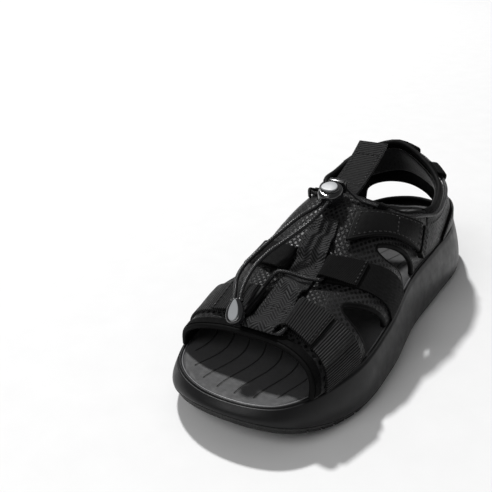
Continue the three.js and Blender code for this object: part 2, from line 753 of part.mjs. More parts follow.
const GATHER_Y = LOCK_LENGTH / 2 + 2.4;
const GATHER_LENGTH = 3.6;
const gatherBores = [-1, 1].map((side) => rod(
  V3(side * CORD_SPREAD, GATHER_Y - GATHER_LENGTH, CORD_LEVEL),
  V3(side * CORD_SPREAD, GATHER_Y + GATHER_LENGTH, CORD_LEVEL),
  TUNNEL_BORE,
  10,
));
inLockGroup('lace_gather', carve(
  block(10.5, GATHER_LENGTH, 0.2, CORD_LEVEL + TUNNEL_RADIUS, GATHER_Y),
  gatherBores,
), 'plastic');

// ---- the two tails and their end clip ----
const tailStart = (side) => [
  inLock(side * CORD_SPREAD, GATHER_Y + 1.2, CORD_LEVEL),
  inLock(side * CORD_SPREAD, 0, CORD_LEVEL),
  inLock(side * CORD_SPREAD, -LOCK_LENGTH / 2 - 1, CORD_LEVEL),
  inLock(side * CORD_SPREAD, -LOCK_LENGTH / 2 - LOCK_TRAVEL - 3, CORD_LEVEL),
];
const CLIP_TOP = V3(-14.4, -103.8, 58.6);
const CLIP_FOOT = V3(-10.6, -113.4, 50.6);
const clipDown = CLIP_FOOT.clone().sub(CLIP_TOP).normalize();
const clipSide = V3(1, 0, 0).addScaledVector(clipDown, -clipDown.x).normalize();
const clipOut = new THREE.Vector3().crossVectors(clipSide, clipDown.clone().negate()).normalize();
const clipFrame = new THREE.Matrix4().makeBasis(clipSide, clipDown.clone().negate(), clipOut);
clipFrame.setPosition(CLIP_TOP.clone().addScaledVector(clipDown, CLIP_LENGTH / 2));
const clip = new THREE.Group();
clipFrame.decompose(clip.position, clip.quaternion, clip.scale);
sandal.add(clip);
const inClip = (x, y, z) => V3(x, y, z).applyMatrix4(clipFrame);
const CLIP_SPREAD = 1.7;
const SOCKET = 4;

const tailEnd = (side) => [
  inClip(side * CLIP_SPREAD, CLIP_LENGTH / 2 + 4, 0),
  inClip(side * CLIP_SPREAD, CLIP_LENGTH / 2 - SOCKET + 1, 0),
];
add('lace_tail_lateral', cordOf([
  ...tailStart(1),
  V3(-7, -41, 77.2),
  V3(-12.6, -54, 72.2),
  V3(-16.6, -67, 69),
  V3(-17.8, -79, 66.4),
  V3(-16.6, -89, 64.4),
  ...tailEnd(1),
], LACE_RADIUS, 34), 'lace');
add('lace_tail_medial', cordOf([
  ...tailStart(-1),
  V3(-12.8, -39, 80),
  V3(-17.2, -53, 75.4),
  V3(-21.6, -67.4, 69.8),
  V3(-23.6, -82, 65.4),
  V3(-21.6, -92.4, 63.2),
  ...tailEnd(-1),
], LACE_RADIUS, 34), 'lace');

const teardrop = leaf(CLIP_WIDTH, CLIP_LENGTH, CLIP_THICKNESS, 0.8);
teardrop.translate(0, 0, -CLIP_THICKNESS / 2);
const clipBody = add('lace_end_clip', carve(teardrop, [-1, 1].map((side) => rod(
  V3(side * CLIP_SPREAD, CLIP_LENGTH, 0),
  V3(side * CLIP_SPREAD, CLIP_LENGTH / 2 - SOCKET, 0),
  LACE_RADIUS + GAP,
  10,
))), 'plastic');
clip.add(clipBody);
const clipInlay = leaf(CLIP_WIDTH - 4, CLIP_LENGTH - 4, 0.6, 0);
clipInlay.translate(0, 0, CLIP_THICKNESS / 2 + GAP);
clip.add(add('end_clip_inlay', clipInlay, 'inlay'));

// ---- lace over the instep, from under the spine through the four tunnels ----
const under = (x, y) => overX(x, y, LACE_ON_MESH);
const tun = (name, end, past = 0) => {
  const [a, b] = TUNNELS[name];
  const p = overX(a[0], a[1], TUNNEL_CENTRE);
  const q = overX(b[0], b[1], TUNNEL_CENTRE);
  const along = q.clone().sub(p).normalize();
  return end === 'front'
    ? p.addScaledVector(along, -past)
    : q.addScaledVector(along, past);
};
add('lace_front', cordOf([
  overX(-5, -36, LACE_ON_MESH),
  overX(-7.4, -37, LACE_ON_MESH),
  overX(-11, -41, 4.7),
  tun('instep_webbing_medial', 'back', 0.4),
  tun('instep_webbing_medial', 'back', -6),
  tun('instep_webbing_medial', 'front', -5),
  tun('instep_webbing_medial', 'front', 0.8),
  overX(-8.8, -67.4, 4.5),
  overX(-3, -71.6, LACE_ON_MESH),
  overX(3, -75.2, LACE_ON_MESH),
  overX(9.4, -79, 4.5),
  tun('toe_webbing_lateral', 'back', 0.8),
  tun('toe_webbing_lateral', 'back', -6),
  tun('toe_webbing_lateral', 'front', -5),
  tun('toe_webbing_lateral', 'front', 0.5),
  overX(10.4, -105, 4.7),
  overX(6, -105.2, LACE_ON_MESH),
  overX(0, -105, LACE_ON_MESH),
  overX(-6, -104.8, LACE_ON_MESH),
  overX(-10.4, -104.4, 4.7),
  tun('toe_webbing_medial', 'front', 0.5),
  tun('toe_webbing_medial', 'front', -6),
  tun('toe_webbing_medial', 'back', -6),
  tun('toe_webbing_medial', 'back', 0.8),
  overX(-12.3, -74.5, 6.4),
  overX(-9.6, -69.6, 9.4),
  overX(-4.6, -67.4, 9),
  overX(1.4, -66, 7.4),
  overX(7, -65, 6.6),
  tun('instep_webbing_lateral', 'front', 0.8),
  tun('instep_webbing_lateral', 'front', -5),
  tun('instep_webbing_lateral', 'back', -5),
  tun('instep_webbing_lateral', 'back', 0.4),
  overX(7, -40, 4.6),
  overX(1.6, -37, LACE_ON_MESH),
  overX(-1.4, -36, LACE_ON_MESH),
], LACE_RADIUS, 80), 'lace');

// ---- lace round the ankle and heel, from one side of the gather to the other ----
const gatherSide = (side) => inLock(side * (5.25 + 3 * GAP), GATHER_Y, 3);
const row = (s, offset = LACE_ON_MESH) => over(s, laceRow(s) * KY, offset);
const heelRow = [];
for (let i = 0; i <= 18; i += 1) {
  heelRow.push(around(mix(0.035, 0.965, i / 18), LACE_HEIGHT, LACE_ON_MESH));
}
add('lace_heel', cordOf([
  gatherSide(1),
  row(0.16, 4.6),
  row(0.25),
  row(0.34),
  row(0.43),
  row(0.52),
  row(0.6),
  over(0.67, 25.4 * KY, LACE_ON_MESH),
  ...heelRow,
  over(-0.5, 23 * KY, LACE_ON_MESH),
  row(-0.42),
  row(-0.36),
  row(-0.3),
  row(-0.24),
  row(-0.17, 4.6),
  gatherSide(-1),
], LACE_RADIUS, 72), 'lace');

// ---- pull tab standing behind the lock ----
const tabRoot = over(sAt(-9 * KX, 8.6 * KY), 8.6 * KY, LINING);
const tabTip = V3(-8 * KX, tabRoot.y + 46 * (TAB_LENGTH / 50), tabRoot.z + 19);
add('pull_tab', bend(2, 10, 1, (u, v, w) => {
  const p = tabRoot.clone().lerp(tabTip, v);
  const run = tabTip.clone().sub(tabRoot).normalize();
  const up = V3(0, -run.z, run.y).normalize();
  const round = v > 0.9 ? 1 - 0.25 * ((v - 0.9) / 0.1) ** 2 : 1;
  p.x += (u - 0.5) * TAB_WIDTH * round;
  p.addScaledVector(up, w * TAB_THICKNESS - 4 * v * (1 - v) * 2.2);
  return p;
}), 'webbing');

const soleBox = new THREE.Box3().setFromObject(sandal.getObjectByName('midsole'));
const soleMiddle = soleBox.getCenter(new THREE.Vector3());
sandal.position.set(-soleMiddle.x, -soleMiddle.y, 0);

export default sandal;
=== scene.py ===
# %% [markdown]
# # A strappy sport sandal
# The sandal is a moulded sole with a soft upper. The upper is cut from mesh, lining and
# webbing, and an elastic lace pulls it together through folded loops. Each sewn piece is
# made here the way a shoemaker makes it: cut flat, then bent over the shape of the foot.
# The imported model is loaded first, because it fixes every size and every moving joint.

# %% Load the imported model
import math

import bmesh
import bpy
from mathutils import Matrix, Vector


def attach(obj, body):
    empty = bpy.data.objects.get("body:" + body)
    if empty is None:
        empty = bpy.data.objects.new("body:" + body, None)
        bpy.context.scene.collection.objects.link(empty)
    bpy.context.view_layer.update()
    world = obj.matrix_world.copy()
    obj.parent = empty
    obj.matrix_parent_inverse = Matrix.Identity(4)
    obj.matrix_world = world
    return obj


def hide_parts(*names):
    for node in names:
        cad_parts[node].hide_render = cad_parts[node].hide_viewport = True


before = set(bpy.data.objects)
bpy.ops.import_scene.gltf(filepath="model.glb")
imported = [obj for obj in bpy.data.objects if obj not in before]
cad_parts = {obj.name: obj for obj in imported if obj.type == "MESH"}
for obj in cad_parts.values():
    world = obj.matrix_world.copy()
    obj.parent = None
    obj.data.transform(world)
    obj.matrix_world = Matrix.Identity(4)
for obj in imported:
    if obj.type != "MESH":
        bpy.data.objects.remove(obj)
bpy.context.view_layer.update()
MM = 0.001
SHIFT = Vector((3.2298, 2.4532, 0.0))

# %% [markdown]
# ## Camera
# The camera stands to the front and a little to the outer side, at about the height of
# a person who crouches to look at the shoe. It is set before anything else is made.

# %% Place the camera
CAMERA_AT = Vector((153.1, -363.6, 229.0))
CAMERA_TURN = math.radians(31.88)
CAMERA_RISE = math.radians(24.60)
CAMERA_ROLL = math.radians(1.54)
LENS_MM = 51.64

camera_back = Vector((
    math.sin(CAMERA_TURN) * math.cos(CAMERA_RISE),
    -math.cos(CAMERA_TURN) * math.cos(CAMERA_RISE),
    math.sin(CAMERA_RISE),
))
level_right = Vector((math.cos(CAMERA_TURN), math.sin(CAMERA_TURN), 0.0))
level_up = camera_back.cross(level_right)
camera_right = level_right * math.cos(CAMERA_ROLL) - level_up * math.sin(CAMERA_ROLL)
camera_up = level_right * math.sin(CAMERA_ROLL) + level_up * math.cos(CAMERA_ROLL)
camera = bpy.data.objects.new("camera", bpy.data.cameras.new("camera"))
bpy.context.scene.collection.objects.link(camera)
turn = Matrix((camera_right, camera_up, camera_back)).transposed()
camera.matrix_world = Matrix.Translation((CAMERA_AT + SHIFT) * MM) @ turn.to_4x4()
camera.data.lens = LENS_MM
camera.data.sensor_width = 36.0
camera.data.clip_start = 0.01
camera.data.clip_end = 20.0
bpy.context.scene.camera = camera
print("camera stands", round((CAMERA_AT * MM).length, 3), "m from the middle of the sole")

# %% [markdown]
# ## Curves that shape the shoe
# A shoe has almost no flat surface, so its sizes are curves: how wide the sole is at each
# place along it, how high its rim stands, and how the foot rises from the toes to the
# instep. Each curve is a short list of places and values with a smooth line through them.

# %% Smooth curves
def smooth(pairs):
    """A smooth line through (place, value) pairs, held flat past both ends."""
    last = len(pairs) - 1
    slopes = []
    for i in range(len(pairs)):
        a, b = pairs[max(0, i - 1)], pairs[min(last, i + 1)]
        slopes.append((b[1] - a[1]) / (b[0] - a[0]))

    def value(x):
        if x <= pairs[0][0]:
            return pairs[0][1]
        if x >= pairs[last][0]:
            return pairs[last][1]
        i = 0
        while x > pairs[i + 1][0]:
            i += 1
        h = pairs[i + 1][0] - pairs[i][0]
        t = (x - pairs[i][0]) / h
        a, b = pairs[i][1], pairs[i + 1][1]
        t2, t3 = t * t, t * t * t
        return (
            a * (2 * t3 - 3 * t2 + 1) + b * (3 * t2 - 2 * t3)
            + slopes[i] * h * (t3 - 2 * t2 + t) + slopes[i + 1] * h * (t3 - t2)
        )

    return value


def mix(a, b, t):
    return a + (b - a) * t


def clamp(x, low=0.0, high=1.0):
    return max(low, min(high, x))


def ease(x, low, high):
    t = clamp((x - low) / (high - low))
    return t * t * (3 - 2 * t)


def spline_point(points, t, closed=False):
    """A point on the centripetal spline through the points, t from 0 to 1."""
    n = len(points)
    p = (n if closed else n - 1) * t
    i = int(math.floor(p))
    w = p - i
    if not closed and i >= n - 1:
        i, w = n - 2, 1.0
    if closed:
        p0, p1, p2, p3 = (points[(i + k) % n] for k in (-1, 0, 1, 2))
    else:
        p1, p2 = points[i], points[i + 1]
        p0 = points[i - 1] if i > 0 else p1 * 2 - p2
        p3 = points[i + 2] if i + 2 < n else p2 * 2 - p1
    d0 = max((p1 - p0).length, 1e-4) ** 0.5
    d1 = max((p2 - p1).length, 1e-4) ** 0.5
    d2 = max((p3 - p2).length, 1e-4) ** 0.5
    m1 = ((p1 - p0) / d0 - (p2 - p0) / (d0 + d1) + (p2 - p1) / d1) * d1
    m2 = ((p2 - p1) / d1 - (p3 - p1) / (d1 + d2) + (p3 - p2) / d2) * d1
    c2 = p1 * -3 + p2 * 3 - m1 * 2 - m2
    c3 = p1 * 2 - p2 * 2 + m1 + m2
    return p1 + m1 * w + c2 * w * w + c3 * w * w * w


OUTLINE = [Vector((x, y, 0.0)) for x, y in (
    (-16, -140.6), (-44, -124.4), (-56, -82.4), (-52.5, -34), (-38, 15.4), (-34.5, 60),
    (-35.5, 97.8), (-20.7, 125), (2, 136.2), (29.6, 131.5), (44, 98.6), (45, 50),
    (44.6, 4.5), (49.5, -45), (47.2, -91.3), (25.2, -134.3),
)]
RIM_STEPS = 720
outline = [spline_point(OUTLINE, i / RIM_STEPS, closed=True) for i in range(RIM_STEPS)]
low_at = min(range(RIM_STEPS), key=lambda i: outline[i].y)
high_at = max(range(RIM_STEPS), key=lambda i: outline[i].y)
TOE_Y, HEEL_Y = outline[low_at].y, outline[high_at].y


def run_of(start, end, step):
    run, i = [], start
    while i != end:
        run.append(outline[i])
        i = (i + step) % RIM_STEPS
    return run + [outline[end]]


def edge_table(run):
    """The sideways place of one edge of the sole for each tenth of a millimetre along it."""
    table, k = [], 0
    count = int((HEEL_Y - TOE_Y) * 10) + 2
    for j in range(count):
        y = TOE_Y + j / 10
        while k < len(run) - 2 and run[k + 1].y < y:
            k += 1
        a, b = run[k], run[k + 1]
        table.append(mix(a.x, b.x, clamp((y - a.y) / max(1e-6, b.y - a.y))))
    return table


medial_table = edge_table(run_of(low_at, high_at, 1))
lateral_table = edge_table(run_of(low_at, high_at, -1))


def from_table(table, y):
    k = clamp((y - TOE_Y) * 10, 0, len(table) - 1.001)
    i = int(k)
    return mix(table[i], table[i + 1], k - i)


def lateral(y):
    return from_table(lateral_table, y)


def medial(y):
    return from_table(medial_table, y)


toe_lift = smooth([(-141, 13.5), (-125, 7.5), (-105, 2), (-85, 0), (-70, 0)])
heel_lift = smooth([(110, 0), (118, 0), (128, 1), (136.5, 3)])
rim_z = smooth([
    (-141, 23.5), (-120, 24), (-90, 26), (-45, 29.5), (0, 33.5), (40, 35.5), (100, 36.5),
    (137, 37),
])
dish = smooth([
    (-141, 1), (-100, 1.5), (-60, 2), (-10, 2.5), (40, 3.5), (90, 5), (120, 4), (137, 1),
])


def floor_z(y):
    return max(0.0, toe_lift(y)) + max(0.0, heel_lift(y))


print("sole is", round(HEEL_Y - TOE_Y, 1), "mm long")

# %% [markdown]
# ## The shape of the foot
# A shoemaker bends every flat piece over a last, a solid foot of wood. Here the last is
# two smooth surfaces. The first runs across the foot, from the inner rim over the ridge
# of the instep to the outer rim. The second stands round the heel like a collar. A piece
# of the upper only says where on the last it lies, and how far off the skin.

# %% The last, across the foot
LINING = 0.9
GAP = 0.3
MESH_IN = LINING + 0.75
MESH_OUT = MESH_IN + 1.3
WEB_IN = MESH_OUT + GAP
WEBBING = 1.3
WEB_OUT = WEB_IN + WEBBING
LACE_RADIUS = 1.15
TUNNEL_RADIUS = LACE_RADIUS + 0.5 + WEBBING
TUNNEL_CENTRE = WEB_IN + TUNNEL_RADIUS
LACE_ON_MESH = MESH_OUT + GAP + LACE_RADIUS
UPPER_INSET = 4.6 + WEB_OUT

ridge_x = smooth([(-118, 0), (-81, -2), (-50, -5), (-25, -8), (0, -9), (40, -5)])
ridge_z = smooth([
    (-118, 39), (-108, 42), (-81, 49), (-58, 53), (-39, 59), (-26, 65), (-10, 72.5),
    (6, 76.5), (40, 81),
])
boxy_lateral = smooth([(-118, 3), (-80, 2.8), (-40, 2.5), (-10, 2.4), (8, 2.7), (33, 4)])
boxy_medial = smooth([(-118, 3), (-80, 2.8), (-40, 2.7), (-10, 2.9), (33, 3.4)])
ankle_bulge = smooth([(-25, 0), (5, 3), (32, 5)])
edge_in = smooth([(-118, 5.5), (-105, 7.5), (-90, UPPER_INSET)])


def base_z(y):
    return rim_z(y) + 0.35


def foot_point(s, y):
    """s runs from -1 at the inner rim over the ridge to 1 at the outer rim."""
    a = (1 - s) * math.pi / 2
    c = math.cos(a)
    power = 2 / (boxy_lateral(y) if c > 0 else boxy_medial(y))
    if c > 0:
        side, bulge = lateral(y) - edge_in(y) - ridge_x(y), 0.0
    else:
        side = ridge_x(y) - medial(y) - edge_in(y)
        bulge = ankle_bulge(y) * math.sin(2 * (math.pi - a))
    x = ridge_x(y) + side * math.copysign(abs(c) ** power, c) - bulge
    z = base_z(y) + (ridge_z(y) - base_z(y)) * abs(math.sin(a)) ** power
    return Vector((x, y, z))


def foot_normal(s, y):
    t = clamp(s, -0.985, 0.985)
    du = foot_point(t + 0.01, y) - foot_point(t - 0.01, y)
    dv = foot_point(t, y + 1) - foot_point(t, y - 1)
    n = du.cross(dv).normalized()
    n.z *= 1 - ease(abs(s), 0.86, 1)
    return n.normalized()


def s_at(x, y):
    """The s of the place on the slopes of the ridge that stands at x."""
    d = x - ridge_x(y)
    if d > 0:
        side, n = lateral(y) - edge_in(y) - ridge_x(y), boxy_lateral(y)
    else:
        side, n = ridge_x(y) - medial(y) - edge_in(y), boxy_medial(y)
    c = clamp(abs(d) / side, 0, 0.98) ** (n / 2)
    return math.copysign(math.asin(c), d) / (math.pi / 2)


def over(s, y, offset):
    return foot_point(s, y) + foot_normal(s, y) * offset


def over_x(x, y, offset):
    return over(s_at(x, y), y, offset)


front_edge = smooth([(-1, -107), (-0.5, -108.5), (0, -108), (0.5, -112), (1, -117)])
back_edge = smooth([
    (-1, 26), (-0.7, 26), (-0.47, 27), (-0.36, 14), (-0.2, 7), (0, 7), (0.25, 8),
    (0.5, 15), (0.7, 31), (0.85, 31), (1, 30),
])
print("instep stands", round(ridge_z(0), 1), "mm over the floor")

# %% The last, round the heel
SEAM = 2.5
HEEL_BULGE = 3.0
RIM_RING = [(36.2, 46), (35.4, 70), (32, 96), (20, 114), (2, 120), (-13.5, 112),
            (-23, 92), (-25.5, 66), (-27.5, 44)]
TOP_RING = [(35.3, 45, 65), (33, 62, 65.5), (28, 78, 69), (14, 92, 77), (-8, 101, 85),
            (-24, 91, 81.5), (-31, 72, 77), (-32.5, 54, 74.5), (-31.5, 38, 74.5)]


def start_lateral(h):
    s = 1 - 0.3 * h ** 1.8
    return foot_point(s, back_edge(s) + SEAM)


def start_medial(h):
    s = -1 + 0.53 * h ** 2
    return foot_point(s, back_edge(s) + SEAM)


rim_ring = ([start_lateral(0)] + [Vector((x, y, base_z(y))) for x, y in RIM_RING]
            + [start_medial(0)])
top_ring = [start_lateral(1)] + [Vector(p) for p in TOP_RING] + [start_medial(1)]


def ruled(t, h):
    return spline_point(rim_ring, t).lerp(spline_point(top_ring, t), h)


def ring_point(t, h):
    """t runs from the outer seam round the heel to the inner one; h from rim to collar."""
    p = ruled(t, h)
    near = clamp(1 - t / 0.18) ** 2
    far = clamp(1 - (1 - t) / 0.18) ** 2
    if near > 0:
        p += (start_lateral(h) - ruled(0, h)) * near
    if far > 0:
        p += (start_medial(h) - ruled(1, h)) * far
    tt = clamp(t, 0.01, 0.99)
    along = spline_point(rim_ring, tt + 0.004) - spline_point(rim_ring, tt - 0.004)
    out = along.cross(Vector((0, 0, 1))).normalized()
    return p + out * (HEEL_BULGE * 4 * h * (1 - h) * math.sin(math.pi * clamp(t)) ** 0.7)


def ring_normal(t, h):
    tt, hh = clamp(t, 0.006, 0.994), clamp(h, 0.02, 0.98)
    du = ring_point(tt + 0.005, hh) - ring_point(tt - 0.005, hh)
    dv = ring_point(tt, hh + 0.015) - ring_point(tt, hh - 0.015)
    n = du.cross(dv).normalized()
    n.z *= ease(h, 0, 0.25)
    return n.normalized()


def around(t, h, offset):
    return ring_point(t, h) + ring_normal(t, h) * offset


print("collar stands", round(ring_point(0.5, 1).z, 1), "mm high at the back")

# %% [markdown]
# ## The free lace ends
# Two ends of the elastic lace come out of the cord lock and hang over the instep into a
# drop-shaped clip. A cord is drawn as one curve through a few points, because a curve
# keeps its thickness and its length in every bend.

# %% The cord lock's own axes
LOCK_WIDTH, LOCK_LENGTH, LOCK_HEIGHT = 14.0, 16.0, 9.0
LOCK_Y = -5.5
CORD_SPREAD = 2.2
CORD_LEVEL = 5.65
BUTTON_LOW, BUTTON_TOP = 3.3, LOCK_HEIGHT + 1.4
GATHER_Y = LOCK_LENGTH / 2 + 2.4
spine_middle = smooth([(-108, 0), (-80, 0), (-50, -1), (-26, -5), (-12, -8), (0, -9)])
lock_seat = over(s_at(spine_middle(LOCK_Y), LOCK_Y), LOCK_Y, WEB_OUT + GAP)
lock_up = foot_normal(0, LOCK_Y)
lock_front = (foot_point(0, LOCK_Y - 8) - foot_point(0, LOCK_Y + 8)).normalized()
lock_up = (lock_up - lock_front * lock_up.dot(lock_front)).normalized()
lock_side = lock_up.cross(lock_front).normalized()


def in_lock(x, y, z):
    return lock_seat + lock_side * x - lock_front * y + lock_up * z


CLIP_LENGTH, CLIP_WIDTH, CLIP_THICKNESS = 14.0, 10.0, 5.2
CLIP_TOP = Vector((-14.4, -103.8, 58.6))
CLIP_FOOT = Vector((-10.6, -113.4, 50.6))
clip_down = (CLIP_FOOT - CLIP_TOP).normalized()
clip_side = (Vector((1, 0, 0)) - clip_down * clip_down.x).normalized()
clip_out = clip_side.cross(-clip_down).normalized()
clip_middle = CLIP_TOP + clip_down * (CLIP_LENGTH / 2)


def in_clip(x, y, z):
    return clip_middle + clip_side * x - clip_down * y + clip_out * z


print("lock seat in mm:", [round(c, 1) for c in lock_seat])


# %% Draw a cord through its points
def cord_curve(name, points, radius, samples):
    """One open curve through the points, in metres, and its length in metres."""
    route = [(spline_point(points, i / (samples - 1)) + SHIFT) * MM for i in range(samples)]
    curve = bpy.data.curves.new(name, "CURVE")
    curve.dimensions = "3D"
    curve.bevel_depth = radius * MM
    curve.bevel_resolution = 4
    curve.use_fill_caps = True
    curve.resolution_u = 6
    spline = curve.splines.new("BEZIER")
    spline.bezier_points.add(samples - 1)
    for knot, place in zip(spline.bezier_points, route):
        knot.co = place
        knot.handle_left_type = knot.handle_right_type = "AUTO"
    piece = bpy.data.objects.new(name, curve)
    bpy.context.scene.collection.objects.link(piece)
    length = sum((b - a).length for a, b in zip(route, route[1:]))
    print(name, "is", round(length / MM, 1), "mm long")
    return piece, length, route


STRAIGHT_OUT = 5
CLIP_SPREAD = 1.7


def tail_points(side, middle):
    """From the gather through the lock, straight out, over the instep and into the clip."""
    return (
        [in_lock(side * CORD_SPREAD, y, CORD_LEVEL) for y in (
            GATHER_Y + 1.2, 0, -LOCK_LENGTH / 2 - 0.5, -LOCK_LENGTH / 2 - STRAIGHT_OUT)]
        + [Vector(p) for p in middle]
        + [in_clip(side * CLIP_SPREAD, CLIP_LENGTH / 2 + y, 0) for y in (4, -3)]
    )


tail_lateral, length_lateral, route_lateral = cord_curve("tail_lateral", tail_points(1, [
    (-7, -41, 77.2), (-12.6, -54, 72.2), (-16.6, -67, 69), (-17.8, -79, 66.4),
    (-16.6, -89, 64.4)]), LACE_RADIUS, 34)
tail_medial, length_medial, route_medial = cord_curve("tail_medial", tail_points(-1, [
    (-12.8, -39, 80), (-17.2, -53, 75.4), (-21.6, -67.4, 69.8), (-23.6, -82, 65.4),
    (-21.6, -92.4, 63.2)]), LACE_RADIUS, 34)

# %% [markdown]
# ## Finishes
# Nearly everything here is black, so the finishes are told apart by how they shine: foam
# is dull, the lace is glossy, webbing has ribs that catch the light. Each finish is a
# small recipe of nodes. Cloth reads the piece's own flat map, in millimetres, so that the
# weave follows the cloth round the foot; moulded pieces read their place in space.

# %% Node helpers
def put(tree, kind, inputs=None, **settings):
    """Adds a node, sets it, and fills or links its inputs."""
    node = tree.nodes.new(kind)
    for key, value in settings.items():
        setattr(node, key, value)
    for key, value in (inputs or {}).items():
        if isinstance(value, bpy.types.NodeSocket):
            tree.links.new(value, node.inputs[key])
        else:
            node.inputs[key].default_value = value
    return node


def sums(tree, operation, *values):
    inputs = {i: v for i, v in enumerate(values)}
    return put(tree, "ShaderNodeMath", inputs, operation=operation).outputs[0]


def finish(name, colour, roughness, **sockets):
    material = bpy.data.materials.new(name)
    material.use_nodes = True
    shader = material.node_tree.nodes["Principled BSDF"]
    shader.inputs["Base Color"].default_value = (*colour, 1)
    shader.inputs["Roughness"].default_value = roughness
    for key, value in sockets.items():
        shader.inputs[key.replace("_", " ")].default_value = value
    return material, material.node_tree, shader


def place_mm(tree, source="Object", turn=0.0):
    """The place on the piece in millimetres, as x, y and z."""
    coords = put(tree, "ShaderNodeTexCoord")
    size = 1000.0 if source == "Object" else 1.0
    mapping = put(tree, "ShaderNodeMapping", {"Vector": coords.outputs[source]})
    mapping.inputs["Scale"].default_value = (size, size, size)
    mapping.inputs["Rotation"].default_value = (0, 0, turn)
    parts = put(tree, "ShaderNodeSeparateXYZ", {0: mapping.outputs[0]})
    return mapping.outputs[0], parts.outputs[0], parts.outputs[1], parts.outputs[2]


def noise(tree, vector, scale, detail=3.0, roughness=0.55):
    return put(tree, "ShaderNodeTexNoise", {
        "Vector": vector, "Scale": scale, "Detail": detail, "Roughness": roughness,
    }).outputs[0]


def ramp(tree, value, *stops):
    """A ramp through (place, grey or colour) stops."""
    node = put(tree, "ShaderNodeValToRGB", {0: value})
    while len(node.color_ramp.elements) < len(stops):
        node.color_ramp.elements.new(1.0)
    for element, (place, colour) in zip(node.color_ramp.elements, stops):
        element.position = place
        shade = colour if isinstance(colour, tuple) else (colour, colour, colour)
        element.color = (*shade, 1)
    return node.outputs[0]


def raise_by(tree, shader, height, distance_mm, strength=1.0):
    """Bump: the height, from 0 to 1, stands up by so many millimetres."""
    node = put(tree, "ShaderNodeBump", {
        "Height": height, "Distance": distance_mm * MM, "Strength": strength,
    })
    tree.links.new(node.outputs[0], shader.inputs["Normal"])


def wave(tree, value, pitch):
    """0 to 1 and back once for each pitch."""
    turns = sums(tree, "MULTIPLY", value, 2 * math.pi / pitch)
    return sums(tree, "MULTIPLY_ADD", sums(tree, "SINE", turns), 0.5, 0.5)


def join(tree, *values):
    """Adds several (value, weight) pairs."""
    total = None
    for value, weight in values:
        part = sums(tree, "MULTIPLY", value, weight)
        total = part if total is None else sums(tree, "ADD", total, part)
    return total


print("node helpers ready")


# %% Moulded finishes: rubber, foam, plastic, inlay, steel, board
def moulded(name, dark, light, rough_low, rough_high, grain, grain_mm, **sockets):
    """A moulded surface: soft changes of shade and gloss over a fine grain."""
    material, tree, shader = finish(name, light, rough_high, **sockets)
    place, x, y, z = place_mm(tree)
    broad = noise(tree, place, 0.045, 4.0)
    tree.links.new(ramp(tree, broad, (0.3, dark), (0.7, light)), shader.inputs["Base Color"])
    tree.links.new(
        ramp(tree, noise(tree, place, 0.16, 5.0), (0.3, rough_low), (0.7, rough_high)),
        shader.inputs["Roughness"],
    )
    fine = noise(tree, place, grain, 2.0)
    raise_by(tree, shader, fine, grain_mm)
    return material, tree, shader, (place, x, y, z, fine)


foam, *_ = moulded("matte_foam", (0.006, 0.006, 0.0065), (0.010, 0.010, 0.0105), 0.34, 0.46,
                   1.1, 0.04, Specular_IOR_Level=0.2)
plastic, *_ = moulded("gloss_plastic", (0.006, 0.006, 0.007), (0.010, 0.010, 0.011), 0.10, 0.22,
                      0.5, 0.01, Coat_Weight=0.4, Coat_Roughness=0.08)
# The pale grey of the leaf tops is a painted reflection: the glare of a flat glossy facet.
inlay, *_ = moulded("painted_glare_grey", (0.26, 0.27, 0.28), (0.34, 0.35, 0.36), 0.34, 0.48, 2.0, 0.015)
steel, *_ = moulded("spring_steel", (0.45, 0.45, 0.46), (0.6, 0.6, 0.6), 0.2, 0.35, 2.5, 0.01,
                    Metallic=1.0)
board, *_ = moulded("fibre_board", (0.20, 0.17, 0.13), (0.30, 0.26, 0.20), 0.8, 0.95, 0.9, 0.08)
rubber, tree, shader, (place, x, y, z, fine) = moulded(
    "tread_rubber", (0.009, 0.009, 0.009), (0.017, 0.017, 0.017), 0.5, 0.7, 1.4, 0.06,
    Specular_IOR_Level=0.35)
zigzag = sums(tree, "PINGPONG", x, 3.0)
dashes = wave(tree, sums(tree, "ADD", y, zigzag), 2.4)
breaks = wave(tree, x, 3.0)
tread = sums(tree, "MULTIPLY", ramp(tree, dashes, (0.35, 0.0), (0.6, 1.0)),
             ramp(tree, breaks, (0.1, 0.0), (0.3, 1.0)))
raise_by(tree, shader, join(tree, (tread, 1.0), (fine, 0.2)), 0.5, 0.8)
print("moulded finishes:", foam.name, rubber.name, plastic.name, inlay.name)


# %% Woven and knitted finishes
def cloth(name, dark, light, weave, height_mm, roughness=0.75, sheen=0.03, fuzz=0.25,
          shade_low=0.25, shade_high=0.75, source="UV", shine=0.05):
    """Cloth: weave(tree, place, x, y) gives the height of the threads from 0 to 1."""
    material, tree, shader = finish(name, light, roughness, Sheen_Weight=sheen,
                                    Sheen_Roughness=0.45, Specular_IOR_Level=shine)
    place, x, y, _ = place_mm(tree, source)
    threads = weave(tree, place, x, y)
    worn = noise(tree, place, 0.06, 4.0)
    shade = join(tree, (threads, 0.8), (worn, 0.3))
    tree.links.new(ramp(tree, shade, (shade_low, dark), (shade_high, light)),
                   shader.inputs["Base Color"])
    tree.links.new(
        ramp(tree, noise(tree, place, 0.3, 4.0), (0.3, roughness - 0.08), (0.7, roughness + 0.1)),
        shader.inputs["Roughness"],
    )
    hairs = noise(tree, place, 2.2, 2.0)
    raise_by(tree, shader, join(tree, (threads, 1.0), (hairs, fuzz)), height_mm)
    return material


def ribs(tree, place, x, y):
    rib = wave(tree, y, 1.5)
    cross = wave(tree, x, 0.7)
    return join(tree, (rib, 0.85), (sums(tree, "MULTIPLY", rib, cross), 0.15))


def fine_twill(tree, place, x, y):
    line = wave(tree, sums(tree, "ADD", y, sums(tree, "MULTIPLY", x, 0.8)), 1.1)
    return join(tree, (line, 0.8), (wave(tree, x, 0.8), 0.2))


